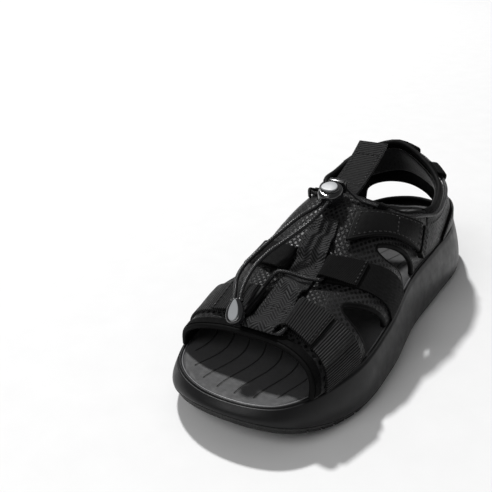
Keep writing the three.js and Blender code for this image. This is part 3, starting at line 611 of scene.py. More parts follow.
def herringbone(tree, place, x, y):
    zigzag = sums(tree, "PINGPONG", sums(tree, "ADD", x, 498.0), 4.15)
    line = wave(tree, sums(tree, "ADD", y, zigzag), 2.1)
    return join(tree, (line, 0.88), (wave(tree, x, 0.7), 0.12))


def jersey(tree, place, x, y):
    stitch = sums(tree, "MULTIPLY", wave(tree, x, 0.8), wave(tree, y, 0.6))
    return join(tree, (stitch, 0.5), (noise(tree, place, 0.8, 3.0), 0.5))


def dotted_jersey(tree, place, x, y):
    """Jersey with rows of small punched holes."""
    along = sums(tree, "SUBTRACT", sums(tree, "PINGPONG", sums(tree, "ADD", x, 500.0), 2.6), 1.3)
    down = sums(tree, "SUBTRACT", sums(tree, "PINGPONG", sums(tree, "ADD", y, 500.0), 2.6), 1.3)
    away = sums(tree, "SQRT", join(
        tree, (sums(tree, "POWER", sums(tree, "ABSOLUTE", along), 2.0), 1.0),
        (sums(tree, "POWER", sums(tree, "ABSOLUTE", down), 2.0), 1.0)))
    hole = ramp(tree, away, (0.45, 0.0), (0.62, 1.0))
    return sums(tree, "MULTIPLY", jersey(tree, place, x, y), hole)


def air_mesh(tree, place, x, y):
    """Knitted spacer mesh: leaning threads round rows of diamond holes."""
    a = wave(tree, sums(tree, "ADD", x, sums(tree, "MULTIPLY", y, 0.75)), 3.4)
    b = wave(tree, sums(tree, "SUBTRACT", x, sums(tree, "MULTIPLY", y, 0.75)), 3.4)
    hole = ramp(tree, sums(tree, "MULTIPLY", a, b), (0.2, 1.0), (0.42, 0.0))
    yarn = wave(tree, sums(tree, "ADD", y, sums(tree, "MULTIPLY", x, 0.4)), 0.7)
    return sums(tree, "MULTIPLY", hole, join(tree, (yarn, 0.35), (hole, 0.65)))


def velvet(tree, place, x, y):
    return noise(tree, place, 1.6, 4.0, 0.8)


toe_ribs = cloth("ribbed_webbing", (0.0004, 0.0004, 0.0004), (0.0085, 0.0085, 0.009), ribs, 0.5,
                 0.5, shine=0.12)
twill = cloth("twill_webbing", (0.0003, 0.0003, 0.0003), (0.0034, 0.0034, 0.0036), fine_twill,
              0.36, 0.6)
spine_weave = cloth("herringbone_webbing", (0.001, 0.001, 0.001), (0.026, 0.026, 0.027),
                    herringbone, 0.4, 0.6, shine=0.16)
lining = cloth("jersey_lining", (0.0008, 0.0008, 0.0008), (0.0035, 0.0035, 0.0037), dotted_jersey,
               0.18, 0.7, 0.01, 0.15)
binding = cloth("binding_tape", (0.001, 0.001, 0.001), (0.004, 0.004, 0.0042), jersey, 0.08,
                0.6, 0.01, 0.1, source="Object", shine=0.08)
mesh_cloth = cloth("air_mesh", (0.0003, 0.0003, 0.0003), (0.013, 0.013, 0.0137), air_mesh, 1.0,
                   0.36, 0.01, 0.1, 0.2, 0.85, shine=0.26)
strap_cloth = cloth("strap_cloth", (0.001, 0.001, 0.001), (0.004, 0.004, 0.0042), fine_twill,
                    0.07, 0.4, 0.01, 0.1, shine=0.12)
hook_cloth = cloth("hook_and_loop", (0.0015, 0.0015, 0.0015), (0.010, 0.010, 0.010), velvet, 0.5,
                   0.85, 0.1, 0.6)
thread = cloth("sewing_thread", (0.001, 0.001, 0.001), (0.006, 0.006, 0.0063), fine_twill, 0.05,
               0.42, 0.02, 0.1, source="Object", shine=0.4)
print("cloth finishes:", toe_ribs.name, twill.name, lining.name, mesh_cloth.name)


# %% Braided lace
def lace_finish(name, length_mm):
    """A braid along the cord: x runs along it from 0 to 1 and y round it."""
    material, tree, shader = finish(name, (0.004, 0.004, 0.0045), 0.3,
                                    Specular_IOR_Level=0.35)
    coords = put(tree, "ShaderNodeTexCoord")
    mapping = put(tree, "ShaderNodeMapping", {"Vector": coords.outputs["UV"]})
    mapping.inputs["Scale"].default_value = (length_mm / 1.3, 6.0, 1.0)
    parts = put(tree, "ShaderNodeSeparateXYZ", {0: mapping.outputs[0]})
    along, round_it = parts.outputs[0], parts.outputs[1]
    left = wave(tree, sums(tree, "ADD", along, round_it), 1.0)
    right = wave(tree, sums(tree, "SUBTRACT", along, round_it), 1.0)
    braid = sums(tree, "MAXIMUM", left, right)
    shade = ramp(tree, braid, (0.4, (0.002, 0.002, 0.0025)), (0.95, (0.010, 0.010, 0.011)))
    tree.links.new(shade, shader.inputs["Base Color"])
    tree.links.new(ramp(tree, braid, (0.4, 0.5), (0.95, 0.24)), shader.inputs["Roughness"])
    raise_by(tree, shader, braid, 0.12)
    return material


def clad(piece, material):
    piece.data.materials.clear()
    piece.data.materials.append(material)


def settle(piece, body, slot, *nodes):
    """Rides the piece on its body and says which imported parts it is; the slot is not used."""
    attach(piece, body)
    if nodes:
        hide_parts(*nodes)


for piece, length, node in (
    (tail_lateral, length_lateral, "lace_tail_lateral"),
    (tail_medial, length_medial, "lace_tail_medial"),
):
    clad(piece, lace_finish(piece.name + "_braid", length / MM))
    settle(piece, "sandal", "lace", node)
print("laces are braided")

# %% [markdown]
# ## Shape helpers
# Three ways of making a piece cover nearly the whole shoe. A loft carries a loop of edges
# from one outline to the next, as the sole's wall is moulded. A strip is a flat grid that
# is bent, as webbing is. A panel is cut flat with its holes, then bent over the last.

# %% Turn a bmesh into a piece
def to_piece(name, bm, thickness=0.0, bevel=0.0, side=0.0, smooth_level=0):
    """Makes the object; thickness is grown by Solidify, and rims are rounded by Bevel."""
    mesh = bpy.data.meshes.new(name)
    for face in bm.faces:
        face.smooth = True
    bm.to_mesh(mesh)
    bm.free()
    piece = bpy.data.objects.new(name, mesh)
    bpy.context.scene.collection.objects.link(piece)
    if thickness:
        wall = piece.modifiers.new("thickness", "SOLIDIFY")
        wall.thickness = thickness * MM
        wall.offset = side
        wall.use_even_offset = False
    if bevel:
        rim = piece.modifiers.new("soft_rim", "BEVEL")
        rim.width = bevel * MM
        rim.segments = 2
        rim.limit_method = "ANGLE"
        rim.angle_limit = math.radians(40)
        rim.harden_normals = True
    if smooth_level:
        subdivision = piece.modifiers.new("smooth", "SUBSURF")
        subdivision.levels = subdivision.render_levels = smooth_level
    return piece


def strip(name, columns, rows, bend, width, length, thickness, bevel=0.3):
    """A flat grid of cloth, width by length in mm, bent by bend(u, v) in mm."""
    bm = bmesh.new()
    flat = bm.loops.layers.uv.new("flat")
    bmesh.ops.create_grid(bm, x_segments=columns, y_segments=rows, size=0.5)
    for face in bm.faces:
        for loop in face.loops:
            loop[flat].uv = (loop.vert.co.x * width, loop.vert.co.y * length)
    for vert in bm.verts:
        vert.co = (bend(vert.co.x + 0.5, vert.co.y + 0.5) + SHIFT) * MM
    return to_piece(name, bm, thickness, bevel)


def cut_flat(loops, across, along):
    """A flat cloth with holes: the first loop is its edge. It is cut in small squares."""
    bm = bmesh.new()
    for loop in loops:
        verts = [bm.verts.new((x, y, 0)) for x, y in loop]
        for a, b in zip(verts, verts[1:] + verts[:1]):
            bm.edges.new((a, b))
    bmesh.ops.triangle_fill(bm, use_beauty=True, edges=bm.edges[:], normal=(0, 0, 1))
    xs = [v.co.x for v in bm.verts]
    ys = [v.co.y for v in bm.verts]
    cuts = [((x, 0, 0), (1, 0, 0)) for x in steps(min(xs), max(xs), across)]
    cuts += [((0, y, 0), (0, 1, 0)) for y in steps(min(ys), max(ys), along)]
    for at, facing in cuts:
        geom = bm.verts[:] + bm.edges[:] + bm.faces[:]
        bmesh.ops.bisect_plane(bm, geom=geom, dist=1e-5, plane_co=at, plane_no=facing)
    bmesh.ops.recalc_face_normals(bm, faces=bm.faces[:])
    if sum(face.normal.z for face in bm.faces) < 0:
        bmesh.ops.reverse_faces(bm, faces=bm.faces[:])
    return bm


def steps(low, high, pitch):
    count = max(1, int((high - low) / pitch))
    return [mix(low, high, i / count) for i in range(1, count)]


def loft(bm, rings):
    """Carries a loop of edges from ring to ring, and returns the last loop's edges."""
    verts = [bm.verts.new((p + SHIFT) * MM) for p in rings[0]]
    edges = [bm.edges.new((a, b)) for a, b in zip(verts, verts[1:] + verts[:1])]
    first = edges
    for ring in rings[1:]:
        order = {vert: i for i, vert in enumerate(verts)}
        grown = bmesh.ops.extrude_edge_only(bm, edges=edges)["geom"]
        edges = [g for g in grown if isinstance(g, bmesh.types.BMEdge)]
        verts = [None] * len(ring)
        for vert in (g for g in grown if isinstance(g, bmesh.types.BMVert)):
            old = next(e.other_vert(vert) for e in vert.link_edges if e.other_vert(vert) in order)
            verts[order[old]] = vert
            vert.co = (ring[order[old]] + SHIFT) * MM
    return first, edges


print("shape helpers ready")

# %% [markdown]
# ## Sole
# The midsole is foam poured in a mould: its wall leans in, rolls over a soft lip and drops
# into a well for the footbed. One outline of the sole, drawn in by different amounts at
# different heights, gives all of that, so the midsole is a loft of outlines.

# %% The outline, drawn in
RIM_POINTS = 300


def even_loop(points, count):
    """The closed line through the points, cut into equal steps."""
    loop = points + points[:1]
    run = [0.0]
    for a, b in zip(loop, loop[1:]):
        run.append(run[-1] + (b - a).length)
    even, k = [], 0
    for i in range(count):
        at = run[-1] * i / count
        while run[k + 1] < at:
            k += 1
        even.append(loop[k].lerp(loop[k + 1], (at - run[k]) / (run[k + 1] - run[k])))
    return even


rim_loop = even_loop(outline, RIM_POINTS)


def outward(i):
    ahead, behind = rim_loop[(i + 3) % RIM_POINTS], rim_loop[(i - 3) % RIM_POINTS]
    run = (ahead - behind).normalized()
    return Vector((-run.y, run.x, 0.0))


def drawn_in(inset, height, back_inset=None):
    """The outline moved inwards by inset mm, standing at height(y)."""
    ring = []
    for i, p in enumerate(rim_loop):
        heel = ease(p.y, 60, 130)
        d = inset if back_inset is None else mix(inset, back_inset, heel)
        q = p - outward(i) * d
        ring.append(Vector((q.x, q.y, height(q.y))))
    return ring


print("outline drawn with", RIM_POINTS, "points")


# %% Midsole
def tread_top(y):
    return floor_z(y) + 4.2


def wall_in(w):
    return 4.5 * w ** 1.7 + 0.9 * (1 - w) ** 3


def wall_back(w):
    return 9 * w ** 1.3 + 0.9 * (1 - w) ** 3


def midsole_height(w):
    return lambda y: mix(tread_top(y) + 0.15, rim_z(y), w)


rings = [drawn_in(12, midsole_height(0)), drawn_in(2.2, midsole_height(0), 2.2)]
for w in (0.02, 0.06, 0.12, 0.2, 0.3, 0.4, 0.5, 0.6, 0.7, 0.8, 0.88, 0.94):
    rings.append(drawn_in(wall_in(w), midsole_height(w), wall_back(w)))
for angle in (0, 30, 60, 90, 120, 150, 180):
    turn = math.radians(angle)
    lip = 4.6 + 0.85 * (1 - math.cos(turn))
    rise = 1.2 * math.sin(turn) - 1.2
    rings.append(drawn_in(lip, lambda y, r=rise: rim_z(y) + r, lip + 4.4))
rings.append(drawn_in(6.35, lambda y: rim_z(y) - 8.7, 10.75))
bm = bmesh.new()
first, last = loft(bm, rings)
bmesh.ops.triangle_fill(bm, use_beauty=True, edges=first, normal=(0, 0, -1))
bmesh.ops.triangle_fill(bm, use_beauty=True, edges=last, normal=(0, 0, 1))
bmesh.ops.recalc_face_normals(bm, faces=bm.faces[:])
midsole = to_piece("midsole_foam", bm)
clad(midsole, foam)
settle(midsole, "sandal", "foam", "midsole")
print("midsole faces:", len(midsole.data.polygons))

# %% [markdown]
# The outsole is a rubber sheet with a tread. A real tread is pressed as separate blocks
# with grooves between them. Here the sheet is a thin loft, and each block is cut from the
# flat outline by pairs of planes, one pair to a groove, and then pushed down to the floor.

# %% Outsole sheet
bm = bmesh.new()
first, last = loft(bm, [
    drawn_in(3.0, lambda y: floor_z(y) + 2.2), drawn_in(1.9, lambda y: floor_z(y) + 2.5),
    drawn_in(1.2, lambda y: floor_z(y) + 3.2), drawn_in(1.2, lambda y: floor_z(y) + 3.9),
    drawn_in(1.7, lambda y: floor_z(y) + 4.2),
])
bmesh.ops.triangle_fill(bm, use_beauty=True, edges=first, normal=(0, 0, -1))
bmesh.ops.triangle_fill(bm, use_beauty=True, edges=last, normal=(0, 0, 1))
bmesh.ops.recalc_face_normals(bm, faces=bm.faces[:])
outsole_sheet = to_piece("outsole_sheet", bm)
clad(outsole_sheet, rubber)
settle(outsole_sheet, "sandal", "rubber", "outsole")


# %% Tread blocks
def tread_blocks(name, loops, grooves, width):
    """Blocks left between straight grooves, each groove a place and a direction across."""
    bm = cut_flat([[(p.x, p.y) for p in loop] for loop in loops], 400, 6)
    for at, facing in grooves:
        facing = Vector(facing).normalized()
        for side in (-0.5, 0.5):
            plane = Vector(at) + facing * (side * width)
            geom = bm.verts[:] + bm.edges[:] + bm.faces[:]
            bmesh.ops.bisect_plane(bm, geom=geom, dist=1e-5, plane_co=plane, plane_no=facing)
    gone = []
    for face in bm.faces:
        middle = face.calc_center_median()
        for at, facing in grooves:
            if abs((middle - Vector(at)).dot(Vector(facing).normalized())) < width / 2:
                gone.append(face)
                break
    bmesh.ops.delete(bm, geom=gone, context="FACES")
    for vert in bm.verts:
        vert.co = (Vector((vert.co.x, vert.co.y, floor_z(vert.co.y) + 2.3)) + SHIFT) * MM
    grown = bmesh.ops.extrude_face_region(bm, geom=bm.faces[:], use_keep_orig=True)["geom"]
    for vert in (g for g in grown if isinstance(g, bmesh.types.BMVert)):
        vert.co.z -= 2.3 * MM
    bmesh.ops.recalc_face_normals(bm, faces=bm.faces[:])
    piece = to_piece(name, bm, bevel=0.35)
    clad(piece, rubber)
    settle(piece, "sandal", "rubber")
    print(name, "grooves:", len(grooves))
    return piece


def level_loop(inset):
    return drawn_in(inset, lambda y: 0.0)


GROOVE_PITCH = 15.5
field_grooves = [
    (((0, (i - 7) * GROOVE_PITCH + 1, 0)), (-0.055, 1, 0)) for i in range(-2, 17)
]
tread_blocks("tread_field", [level_loop(15.6)], field_grooves, 2.4)
band_grooves = [((0, y * 7.75 - 3, 0), (0, 1, 0)) for y in range(-15, 17)]
tread_blocks("tread_band", [level_loop(3.2), level_loop(13.2)], band_grooves, 1.5)

# %% [markdown]
# The footbed is a cushion with a thin cloth on top, dished in the middle. It is cut flat
# from the outline and pressed down. Swaying lines are moulded in under the toes and the
# heel and stop short of the edge, so every point remembers how far it lies from the edge,
# and the finish draws the lines only where that is far enough.

# %% Footbed
FOOTBED_INSET, FOOTBED_BACK = 6.7, 11.0


def footbed_top(x, y):
    mid, half = (lateral(y) + medial(y)) / 2, (lateral(y) - medial(y)) / 2
    across = abs(x - mid) / max(1.0, half)
    return rim_z(y) - 0.3 - dish(y) * (1 - ease(across, 0.35, 0.8))


bed_edge = drawn_in(FOOTBED_INSET, lambda y: 0.0, FOOTBED_BACK)
bm = cut_flat([[(p.x, p.y) for p in bed_edge]], 3.0, 3.0)
flat = bm.loops.layers.uv.new("flat")
for face in bm.faces:
    for loop in face.loops:
        loop[flat].uv = (loop.vert.co.x, loop.vert.co.y)
from_edge = bm.verts.layers.float.new("from_edge")
for vert in bm.verts:
    near = min((vert.co - p).length_squared for p in bed_edge) ** 0.5
    vert[from_edge] = near
    roll = 0.9 * (1 - clamp(near / 2.2)) ** 2
    vert.co = (Vector((vert.co.x, vert.co.y, footbed_top(vert.co.x, vert.co.y) - roll))
               + SHIFT) * MM
footbed = to_piece("footbed_cloth", bm, thickness=4.0, side=-1.0, bevel=0.5)
topcloth = cloth("footbed_cloth", (0.032, 0.032, 0.033), (0.064, 0.064, 0.066), jersey, 0.10,
                 0.6, 0.05, 0.2, shine=0.4)
tree = topcloth.node_tree
shader = tree.nodes["Principled BSDF"]
place, x, y, z = place_mm(tree, "Object")
inward = put(tree, "ShaderNodeAttribute", attribute_name="from_edge").outputs["Fac"]
toe_end = ramp(tree, sums(tree, "MULTIPLY_ADD", y, -0.01, -0.3), (0.34, 0.0), (0.4, 1.0))
heel_end = ramp(tree, sums(tree, "MULTIPLY_ADD", y, 0.01, 0.0), (0.06, 0.0), (0.12, 1.0))
sway = sums(tree, "MULTIPLY", sums(tree, "SINE", sums(tree, "MULTIPLY", y, 0.085)), 6.0)
swept = sums(tree, "ADD", sums(tree, "ADD", x, sway), sums(tree, "MULTIPLY", y, 0.16))
lines = ramp(tree, wave(tree, swept, 10.2), (0.008, 0.0), (0.03, 1.0))
inside = ramp(tree, sums(tree, "MULTIPLY", inward, 0.02), (0.11, 0.0), (0.13, 1.0))
drawn = sums(tree, "MULTIPLY", inside, sums(tree, "MAXIMUM", toe_end, heel_end))
groove = sums(tree, "MULTIPLY", sums(tree, "SUBTRACT", 1.0, lines), drawn)
old_bump = next(n for n in tree.nodes if n.type == "BUMP")
deep = put(tree, "ShaderNodeBump", {"Height": sums(tree, "SUBTRACT", 1.0, groove),
                                    "Distance": 0.9 * MM, "Strength": 1.0})
tree.links.new(deep.outputs[0], old_bump.inputs["Normal"])
# The grooves are also darkened in colour: painted shade in the grooves.
colour_link = shader.inputs["Base Color"].links[0].from_socket
groove_shade = put(tree, "ShaderNodeMix", {0: groove, 6: colour_link, 7: (0.008, 0.008, 0.008, 1)},
             data_type="RGBA")
tree.links.new(groove_shade.outputs[2], shader.inputs["Base Color"])
clad(footbed, topcloth)
settle(footbed, "sandal", "topcloth", "footbed")
print("footbed faces:", len(footbed.data.polygons))
clad(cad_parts["insole_board"], board)


# %% Pale rim of the footbed, a painted highlight
def closed_cord(name, ring, radius):
    curve = bpy.data.curves.new(name, "CURVE")
    curve.dimensions = "3D"
    curve.bevel_depth = radius * MM
    curve.bevel_resolution = 2
    spline = curve.splines.new("POLY")
    spline.points.add(len(ring) - 1)
    spline.use_cyclic_u = True
    for knot, place in zip(spline.points, ring):
        knot.co = (*((place + SHIFT) * MM), 1)
    piece = bpy.data.objects.new(name, curve)
    bpy.context.scene.collection.objects.link(piece)
    return piece


# Its light grey is a painted highlight: the bright line where the lip catches light.
highlight_bead = closed_cord("footbed_highlight_bead", drawn_in(6.5, lambda y: rim_z(y) - 0.75, 10.9), 0.4)
highlight_finish, *_ = moulded("painted_highlight_line", (0.10, 0.10, 0.105), (0.20, 0.20, 0.205), 0.3, 0.42, 1.5,
                         0.03)
clad(highlight_bead, highlight_finish)
settle(highlight_bead, "sandal", "topcloth")
print("rim line laid")

# %% [markdown]
# ## The net of the vamp
# The front of the upper is one layer of lining under one layer of spacer mesh, with four
# side openings. Each layer is cut flat, holes and all, and then bent over the last. The
# flat plan measures girth across and length along, so the mesh keeps its true scale.

# %% Girth of the last
GIRTH_SCALE = 70.0


def girth_table():
    """The distance over the last from the ridge, in mm, for places 4 mm and 0.05 s apart."""
    table = []
    for j in range(45):
        y = -126 + 4 * j
        row = [0.0]
        for i in range(1, 26):
            row.append(row[-1] + (foot_point(i / 25, y) - foot_point((i - 1) / 25, y)).length)
        left = [0.0]
        for i in range(1, 26):
            left.append(left[-1] - (foot_point(-i / 25, y) - foot_point((1 - i) / 25, y)).length)
        table.append((left, row))
    return table


girths = girth_table()


def girth(s, y):
    j = clamp((y + 126) / 4, 0, 43.999)
    i = clamp(abs(s) * 25, 0, 24.999)
    side = 1 if s > 0 else 0

    def at(row):
        run = girths[row][side]
        return mix(run[int(i)], run[int(i) + 1], i - int(i))

    return mix(at(int(j)), at(int(j) + 1), j - int(j))


print("girth at the instep in mm:", round(girth(1, 0) - girth(-1, 0), 1))

# %% Edges and openings of the vamp
OPENINGS = {
    "toe_lateral": [(1.2, -75, -46), (1, -75, -47), (0.8, -77, -53), (0.6, -77, -60),
                    (0.45, -75, -66), (0.4, -72.5, -69)],
    "instep_lateral": [(1.2, -11, 11), (1, -12, 10), (0.8, -16, 1), (0.62, -22, -9),
                       (0.5, -23, -16), (0.46, -21.5, -19)],
    "toe_medial": [(-1.2, -66, -42), (-1, -66, -43), (-0.8, -69, -50), (-0.62, -71, -57),
                   (-0.52, -69, -62), (-0.49, -67.5, -64.5)],
    "instep_medial": [(-1.2, -14, 8), (-1, -15, 7), (-0.8, -18, -1), (-0.64, -22, -9),
                      (-0.54, -21, -14.5), (-0.51, -19.5, -17)],
}


def opening_edge(rows, count=16):
    """The open edge of a side opening, as (s, y), from the rim up one side and down."""
    rows = sorted(rows)
    front = smooth([(r[0], r[1]) for r in rows])
    back = smooth([(r[0], r[2]) for r in rows])
    tip, rim = (rows[0][0], 1.0) if rows[0][0] > 0 else (rows[-1][0], -1.0)
    up = [mix(rim, tip, i / count) for i in range(count + 1)]
    return [(s, front(s)) for s in up] + [(s, back(s)) for s in reversed(up)]


def vamp_loop():
    """The whole edge of the vamp, as (s, y), with the openings as bays in its sides."""
    loop = [(s / 30 - 1, front_edge(s / 30 - 1)) for s in range(61)]
    for name in ("toe_lateral", "instep_lateral"):
        loop += opening_edge(OPENINGS[name])
    loop += [(1 - s / 30, back_edge(1 - s / 30)) for s in range(61)]
    for name in ("instep_medial", "toe_medial"):
        loop += list(reversed(opening_edge(OPENINGS[name])))
    return loop


def on_last(bm, offset):
    """Gives the flat panel its map and bends it over the last at this offset."""
    flat = bm.loops.layers.uv.new("flat")
    for face in bm.faces:
        for loop in face.loops:
            s, y = loop.vert.co.x / GIRTH_SCALE, loop.vert.co.y
            loop[flat].uv = (girth(s, y), y)
    for vert in bm.verts:
        s, y = vert.co.x / GIRTH_SCALE, vert.co.y
        vert.co = (over(clamp(s, -1, 1), y, offset) + SHIFT) * MM


vamp_plan = [(s * GIRTH_SCALE, y) for s, y in vamp_loop()]
print("vamp plan has", len(vamp_plan), "points")


# %% Lining and mesh of the vamp
def vamp_layer(name, offset, thickness, material, slot, node):
    bm = cut_flat([vamp_plan], 2.2, 2.6)
    on_last(bm, offset)
    piece = to_piece(name, bm, thickness, 0.0, 1.0)
    clad(piece, material)
    settle(piece, "sandal", slot, node)
    print(name, "faces:", len(piece.data.polygons))
    return piece


vamp_layer("vamp_lining", 0.05, LINING, lining, "lining", "vamp_lining")
vamp_layer("vamp_mesh", MESH_IN, MESH_OUT - MESH_IN, mesh_cloth, "mesh", "vamp_mesh")

# %% [markdown]
# Raw cloth frays, so each cut edge is bound with a folded tape. A tape rolled over an edge
# looks like a soft cord with a flat back, and a thick curve along the edge gives that.

# %% Bound edges
def bound_edge(name, points, radius, body="sandal", slot="lining"):
    """A soft tape rolled over an edge that runs through the points, in mm."""
    curve = bpy.data.curves.new(name, "CURVE")
    curve.dimensions = "3D"
    curve.bevel_depth = radius * MM
    curve.bevel_resolution = 3
    curve.use_fill_caps = True
    spline = curve.splines.new("POLY")
    spline.points.add(len(points) - 1)
    for knot, place in zip(spline.points, points):
        knot.co = (*((place + SHIFT) * MM), 1)
    piece = bpy.data.objects.new(name, curve)
    bpy.context.scene.collection.objects.link(piece)
    clad(piece, binding)
    settle(piece, body, slot)
    return piece


TAPE = 1.6
TAPE_AT = 1.5
front_run = [(-1 + i / 45, front_edge(-1 + i / 45)) for i in range(91)]
bound_edge("front_binding", [over(s, y, TAPE_AT) for s, y in front_run], TAPE)
for name, rows in OPENINGS.items():
    run = [(s, y) for s, y in opening_edge(rows, 24)]
    bound_edge("binding_" + name, [over(s, y, TAPE_AT) for s, y in run], TAPE)
facing = strip("front_facing", 90, 4,
               lambda u, v: over(mix(-0.985, 0.985, u), front_edge(mix(-0.985, 0.985, u))
                                 + mix(0.2, 4.2, v), MESH_OUT + 0.3), 130.0, 4.0, 0.5, 0.2)
clad(facing, lining)
settle(facing, "sandal", "lining")
print("edges bound:", 1 + len(OPENINGS))

# %% [markdown]
# ## Folded webbing
# Four runs of ribbed webbing come up from the sole. Each turns back on itself round the
# lace and is sewn down, which leaves a tunnel. The run is a flat strip whose long way
# follows a path: up the foot, once round the lace, and back over itself.

# %% The folded runs
TUNNELS = {
    "toe_webbing_lateral": ((12.3, -101.5), (12.3, -82.5), -110, -82),
    "instep_webbing_lateral": ((11.4, -61.5), (10, -44), -41, -15),
    "toe_webbing_medial": ((-12.3, -101), (-12.3, -81.5), -97, -70),
    "instep_webbing_medial": ((-12, -63), (-13.4, -44.5), -39, -19),
}
LOOP_RADIUS = 2.35
MIDDLE = WEB_IN + WEBBING / 2


def tunnel_point(name, end, past=0.0):
    a, b, _, _ = TUNNELS[name]
    p, q = over_x(*a, TUNNEL_CENTRE), over_x(*b, TUNNEL_CENTRE)
    along = (q - p).normalized()
    return p - along * past if end == "front" else q + along * past


def fold_path(name, w):
    """The path of the webbing at w, from its front edge 0 to its back edge 1."""
    a, b, rim_front, rim_back = TUNNELS[name]
    side = math.copysign(1, a[0])
    s_top = mix(s_at(*a), s_at(*b), w)
    y_top, y_rim = mix(a[1], b[1], w), mix(rim_front, rim_back, w)
    up = [over(mix(side, s_top, i / 14), mix(y_rim, y_top, i / 14), MIDDLE) for i in range(14)]
    centre = over_x(*a, TUNNEL_CENTRE).lerp(over_x(*b, TUNNEL_CENTRE), w)
    axis = (over_x(*b, TUNNEL_CENTRE) - over_x(*a, TUNNEL_CENTRE)).normalized()
    stand = foot_normal(s_top, y_top)
    stand = (stand - axis * stand.dot(axis)).normalized()
    downhill = axis.cross(stand) * -side
    if downhill.x * side < 0:
        downhill = -downhill
    path = up[:-1]
    for turn in (-160, -125, -90, -55, -20, 10):
        t = math.radians(turn)
        path.append(centre + (stand * math.cos(t) + downhill * math.sin(t)) * LOOP_RADIUS)
    for i, lift in ((2, 1.2), (3, 0.35), (4, 0.15)):
        k = i / 14 * 1.15
        path.append(over(mix(s_top, side, k), mix(y_top, y_rim, k), WEB_OUT + WEBBING / 2 + lift))
    return path


def even_run(points, count=160):
    """The smooth line through the points, cut into equal steps."""
    fine = [spline_point(points, i / 400) for i in range(401)]
    run = [0.0]
    for a, b in zip(fine, fine[1:]):
        run.append(run[-1] + (b - a).length)
    even, k = [], 0
    for i in range(count + 1):
        at = run[-1] * i / count
        while k < 399 and run[k + 1] < at:
            k += 1
        even.append(fine[k].lerp(fine[k + 1], (at - run[k]) / max(1e-9, run[k + 1] - run[k])))
    return even


def fold_run(name, material, slot="webbing"):
    paths = {}

    def bend(u, v):
        key = round(u, 4)
        if key not in paths:
            paths[key] = even_run(fold_path(name, u))
        k = min(int(v * 160), 159)
        return paths[key][k].lerp(paths[key][k + 1], v * 160 - k)

    length = 78.0
    width = (over_x(*TUNNELS[name][1], 0) - over_x(*TUNNELS[name][0], 0)).length + 4
    piece = strip(name + "_run", 12, 74, bend, width, length, WEBBING, 0.25)
    clad(piece, material)
    settle(piece, "sandal", slot, name)
    print(name, "is", round(width, 1), "mm wide at the lace")
    return piece


fold_run("toe_webbing_lateral", toe_ribs)
fold_run("toe_webbing_medial", toe_ribs)
fold_run("instep_webbing_lateral", twill)
fold_run("instep_webbing_medial", twill)

# %% [markdown]
# A spine of herringbone webbing runs along the ridge and rises over the lace in arches. It
# is a plain strip: its height over the last is what changes along it.

# %% Spine
UNDERPASS = [(-105, 0.0), (-73.2, -0.63)]
ARCH = 3.4
SPINE_WIDTH = 16.6


def spine_lift(x, y):
    lift = ease(y, -49, -42) - ease(y, -34, -27)
    for at, slope in UNDERPASS:
        t = abs(y - (at + slope * x)) / 8
        if t < 1:
            lift = max(lift, math.cos(t * math.pi / 2) ** 2)
    return lift * ARCH


def spine_point(u, v, offset=MIDDLE):
    y = mix(-108, -17, v)
    x = spine_middle(y) + (u - 0.5) * SPINE_WIDTH
    return over(s_at(x, y), y, offset + spine_lift(x, y))


spine = strip("spine_strip", 10, 110, spine_point, SPINE_WIDTH, 96.0, WEBBING, 0.3)
clad(spine, spine_weave)
settle(spine, "sandal", "webbing", "spine_webbing")
print("spine is", SPINE_WIDTH, "mm wide")

# %% [markdown]
# ## Collar
# Round the heel stand a lining, a layer of mesh, a pad inside the top and a low counter
# outside. They use the second surface of the last. The pad is closed and crowned, so it
# is lofted as a tube with a flat oval section. A tape covers the seam on each side where
# the collar meets the net of the vamp.

# %% Quarter layers
RING_GIRTH = 190.0
RING_HEIGHT = 44.0


def ring_strip(name, columns, rows, t0, t1, low, high, offset, thickness, material,
               lift=lambda u, v: 0.0, side=0.0, bevel=0.3):
    """A strip on the heel's surface: low(u) and high(u) are its edges from 0 to 1."""
    def bend(u, v):
        t, h = mix(t0, t1, u), mix(low(u), high(u), v)
        return around(t, h, offset + lift(u, v))

    tall = (high(0.5) - low(0.5)) * RING_HEIGHT
    piece = strip(name, columns, rows, bend, (t1 - t0) * RING_GIRTH, tall, thickness, bevel)
    if piece.modifiers:
        piece.modifiers[0].offset = side
    clad(piece, material)
    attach(piece, "sandal")
    return piece


HEEL_WINDOW = [(0.42, 0.07, 0.14), (0.45, 0.05, 0.23), (0.53, 0.04, 0.34), (0.6, 0.04, 0.39),
               (0.66, 0.05, 0.36), (0.69, 0.08, 0.2)]
window_low = smooth([(t, low) for t, low, _ in HEEL_WINDOW])
window_high = smooth([(t, high) for t, _, high in HEEL_WINDOW])
window_run = [mix(0.42, 0.69, i / 40) for i in range(41)]
window_edge = [(t, window_low(t)) for t in window_run]
window_edge += [(t, window_high(t)) for t in reversed(window_run)]


def quarter_layer(name, offset, thickness, material, slot, node):
    """The whole quarter, cut flat with its window, and bent round the heel."""
    rim = [(i / 96, 0.0) for i in range(97)] + [(1 - i / 96, 1.0) for i in range(97)]
    plans = [[(t * RING_GIRTH, h * RING_HEIGHT) for t, h in run] for run in (rim, window_edge)]
    bm = cut_flat(plans, 2.0, 2.6)
    flat = bm.loops.layers.uv.new("flat")
    for face in bm.faces:
        for loop in face.loops:
            loop[flat].uv = (loop.vert.co.x, loop.vert.co.y)
    for vert in bm.verts:
        t, h = clamp(vert.co.x / RING_GIRTH), clamp(vert.co.y / RING_HEIGHT)
        vert.co = (around(t, h, offset) + SHIFT) * MM
    piece = to_piece(name, bm, thickness, 0.0, 1.0)
    clad(piece, material)
    settle(piece, "sandal", slot, node)
    print(name, "faces:", len(piece.data.polygons))
    return piece


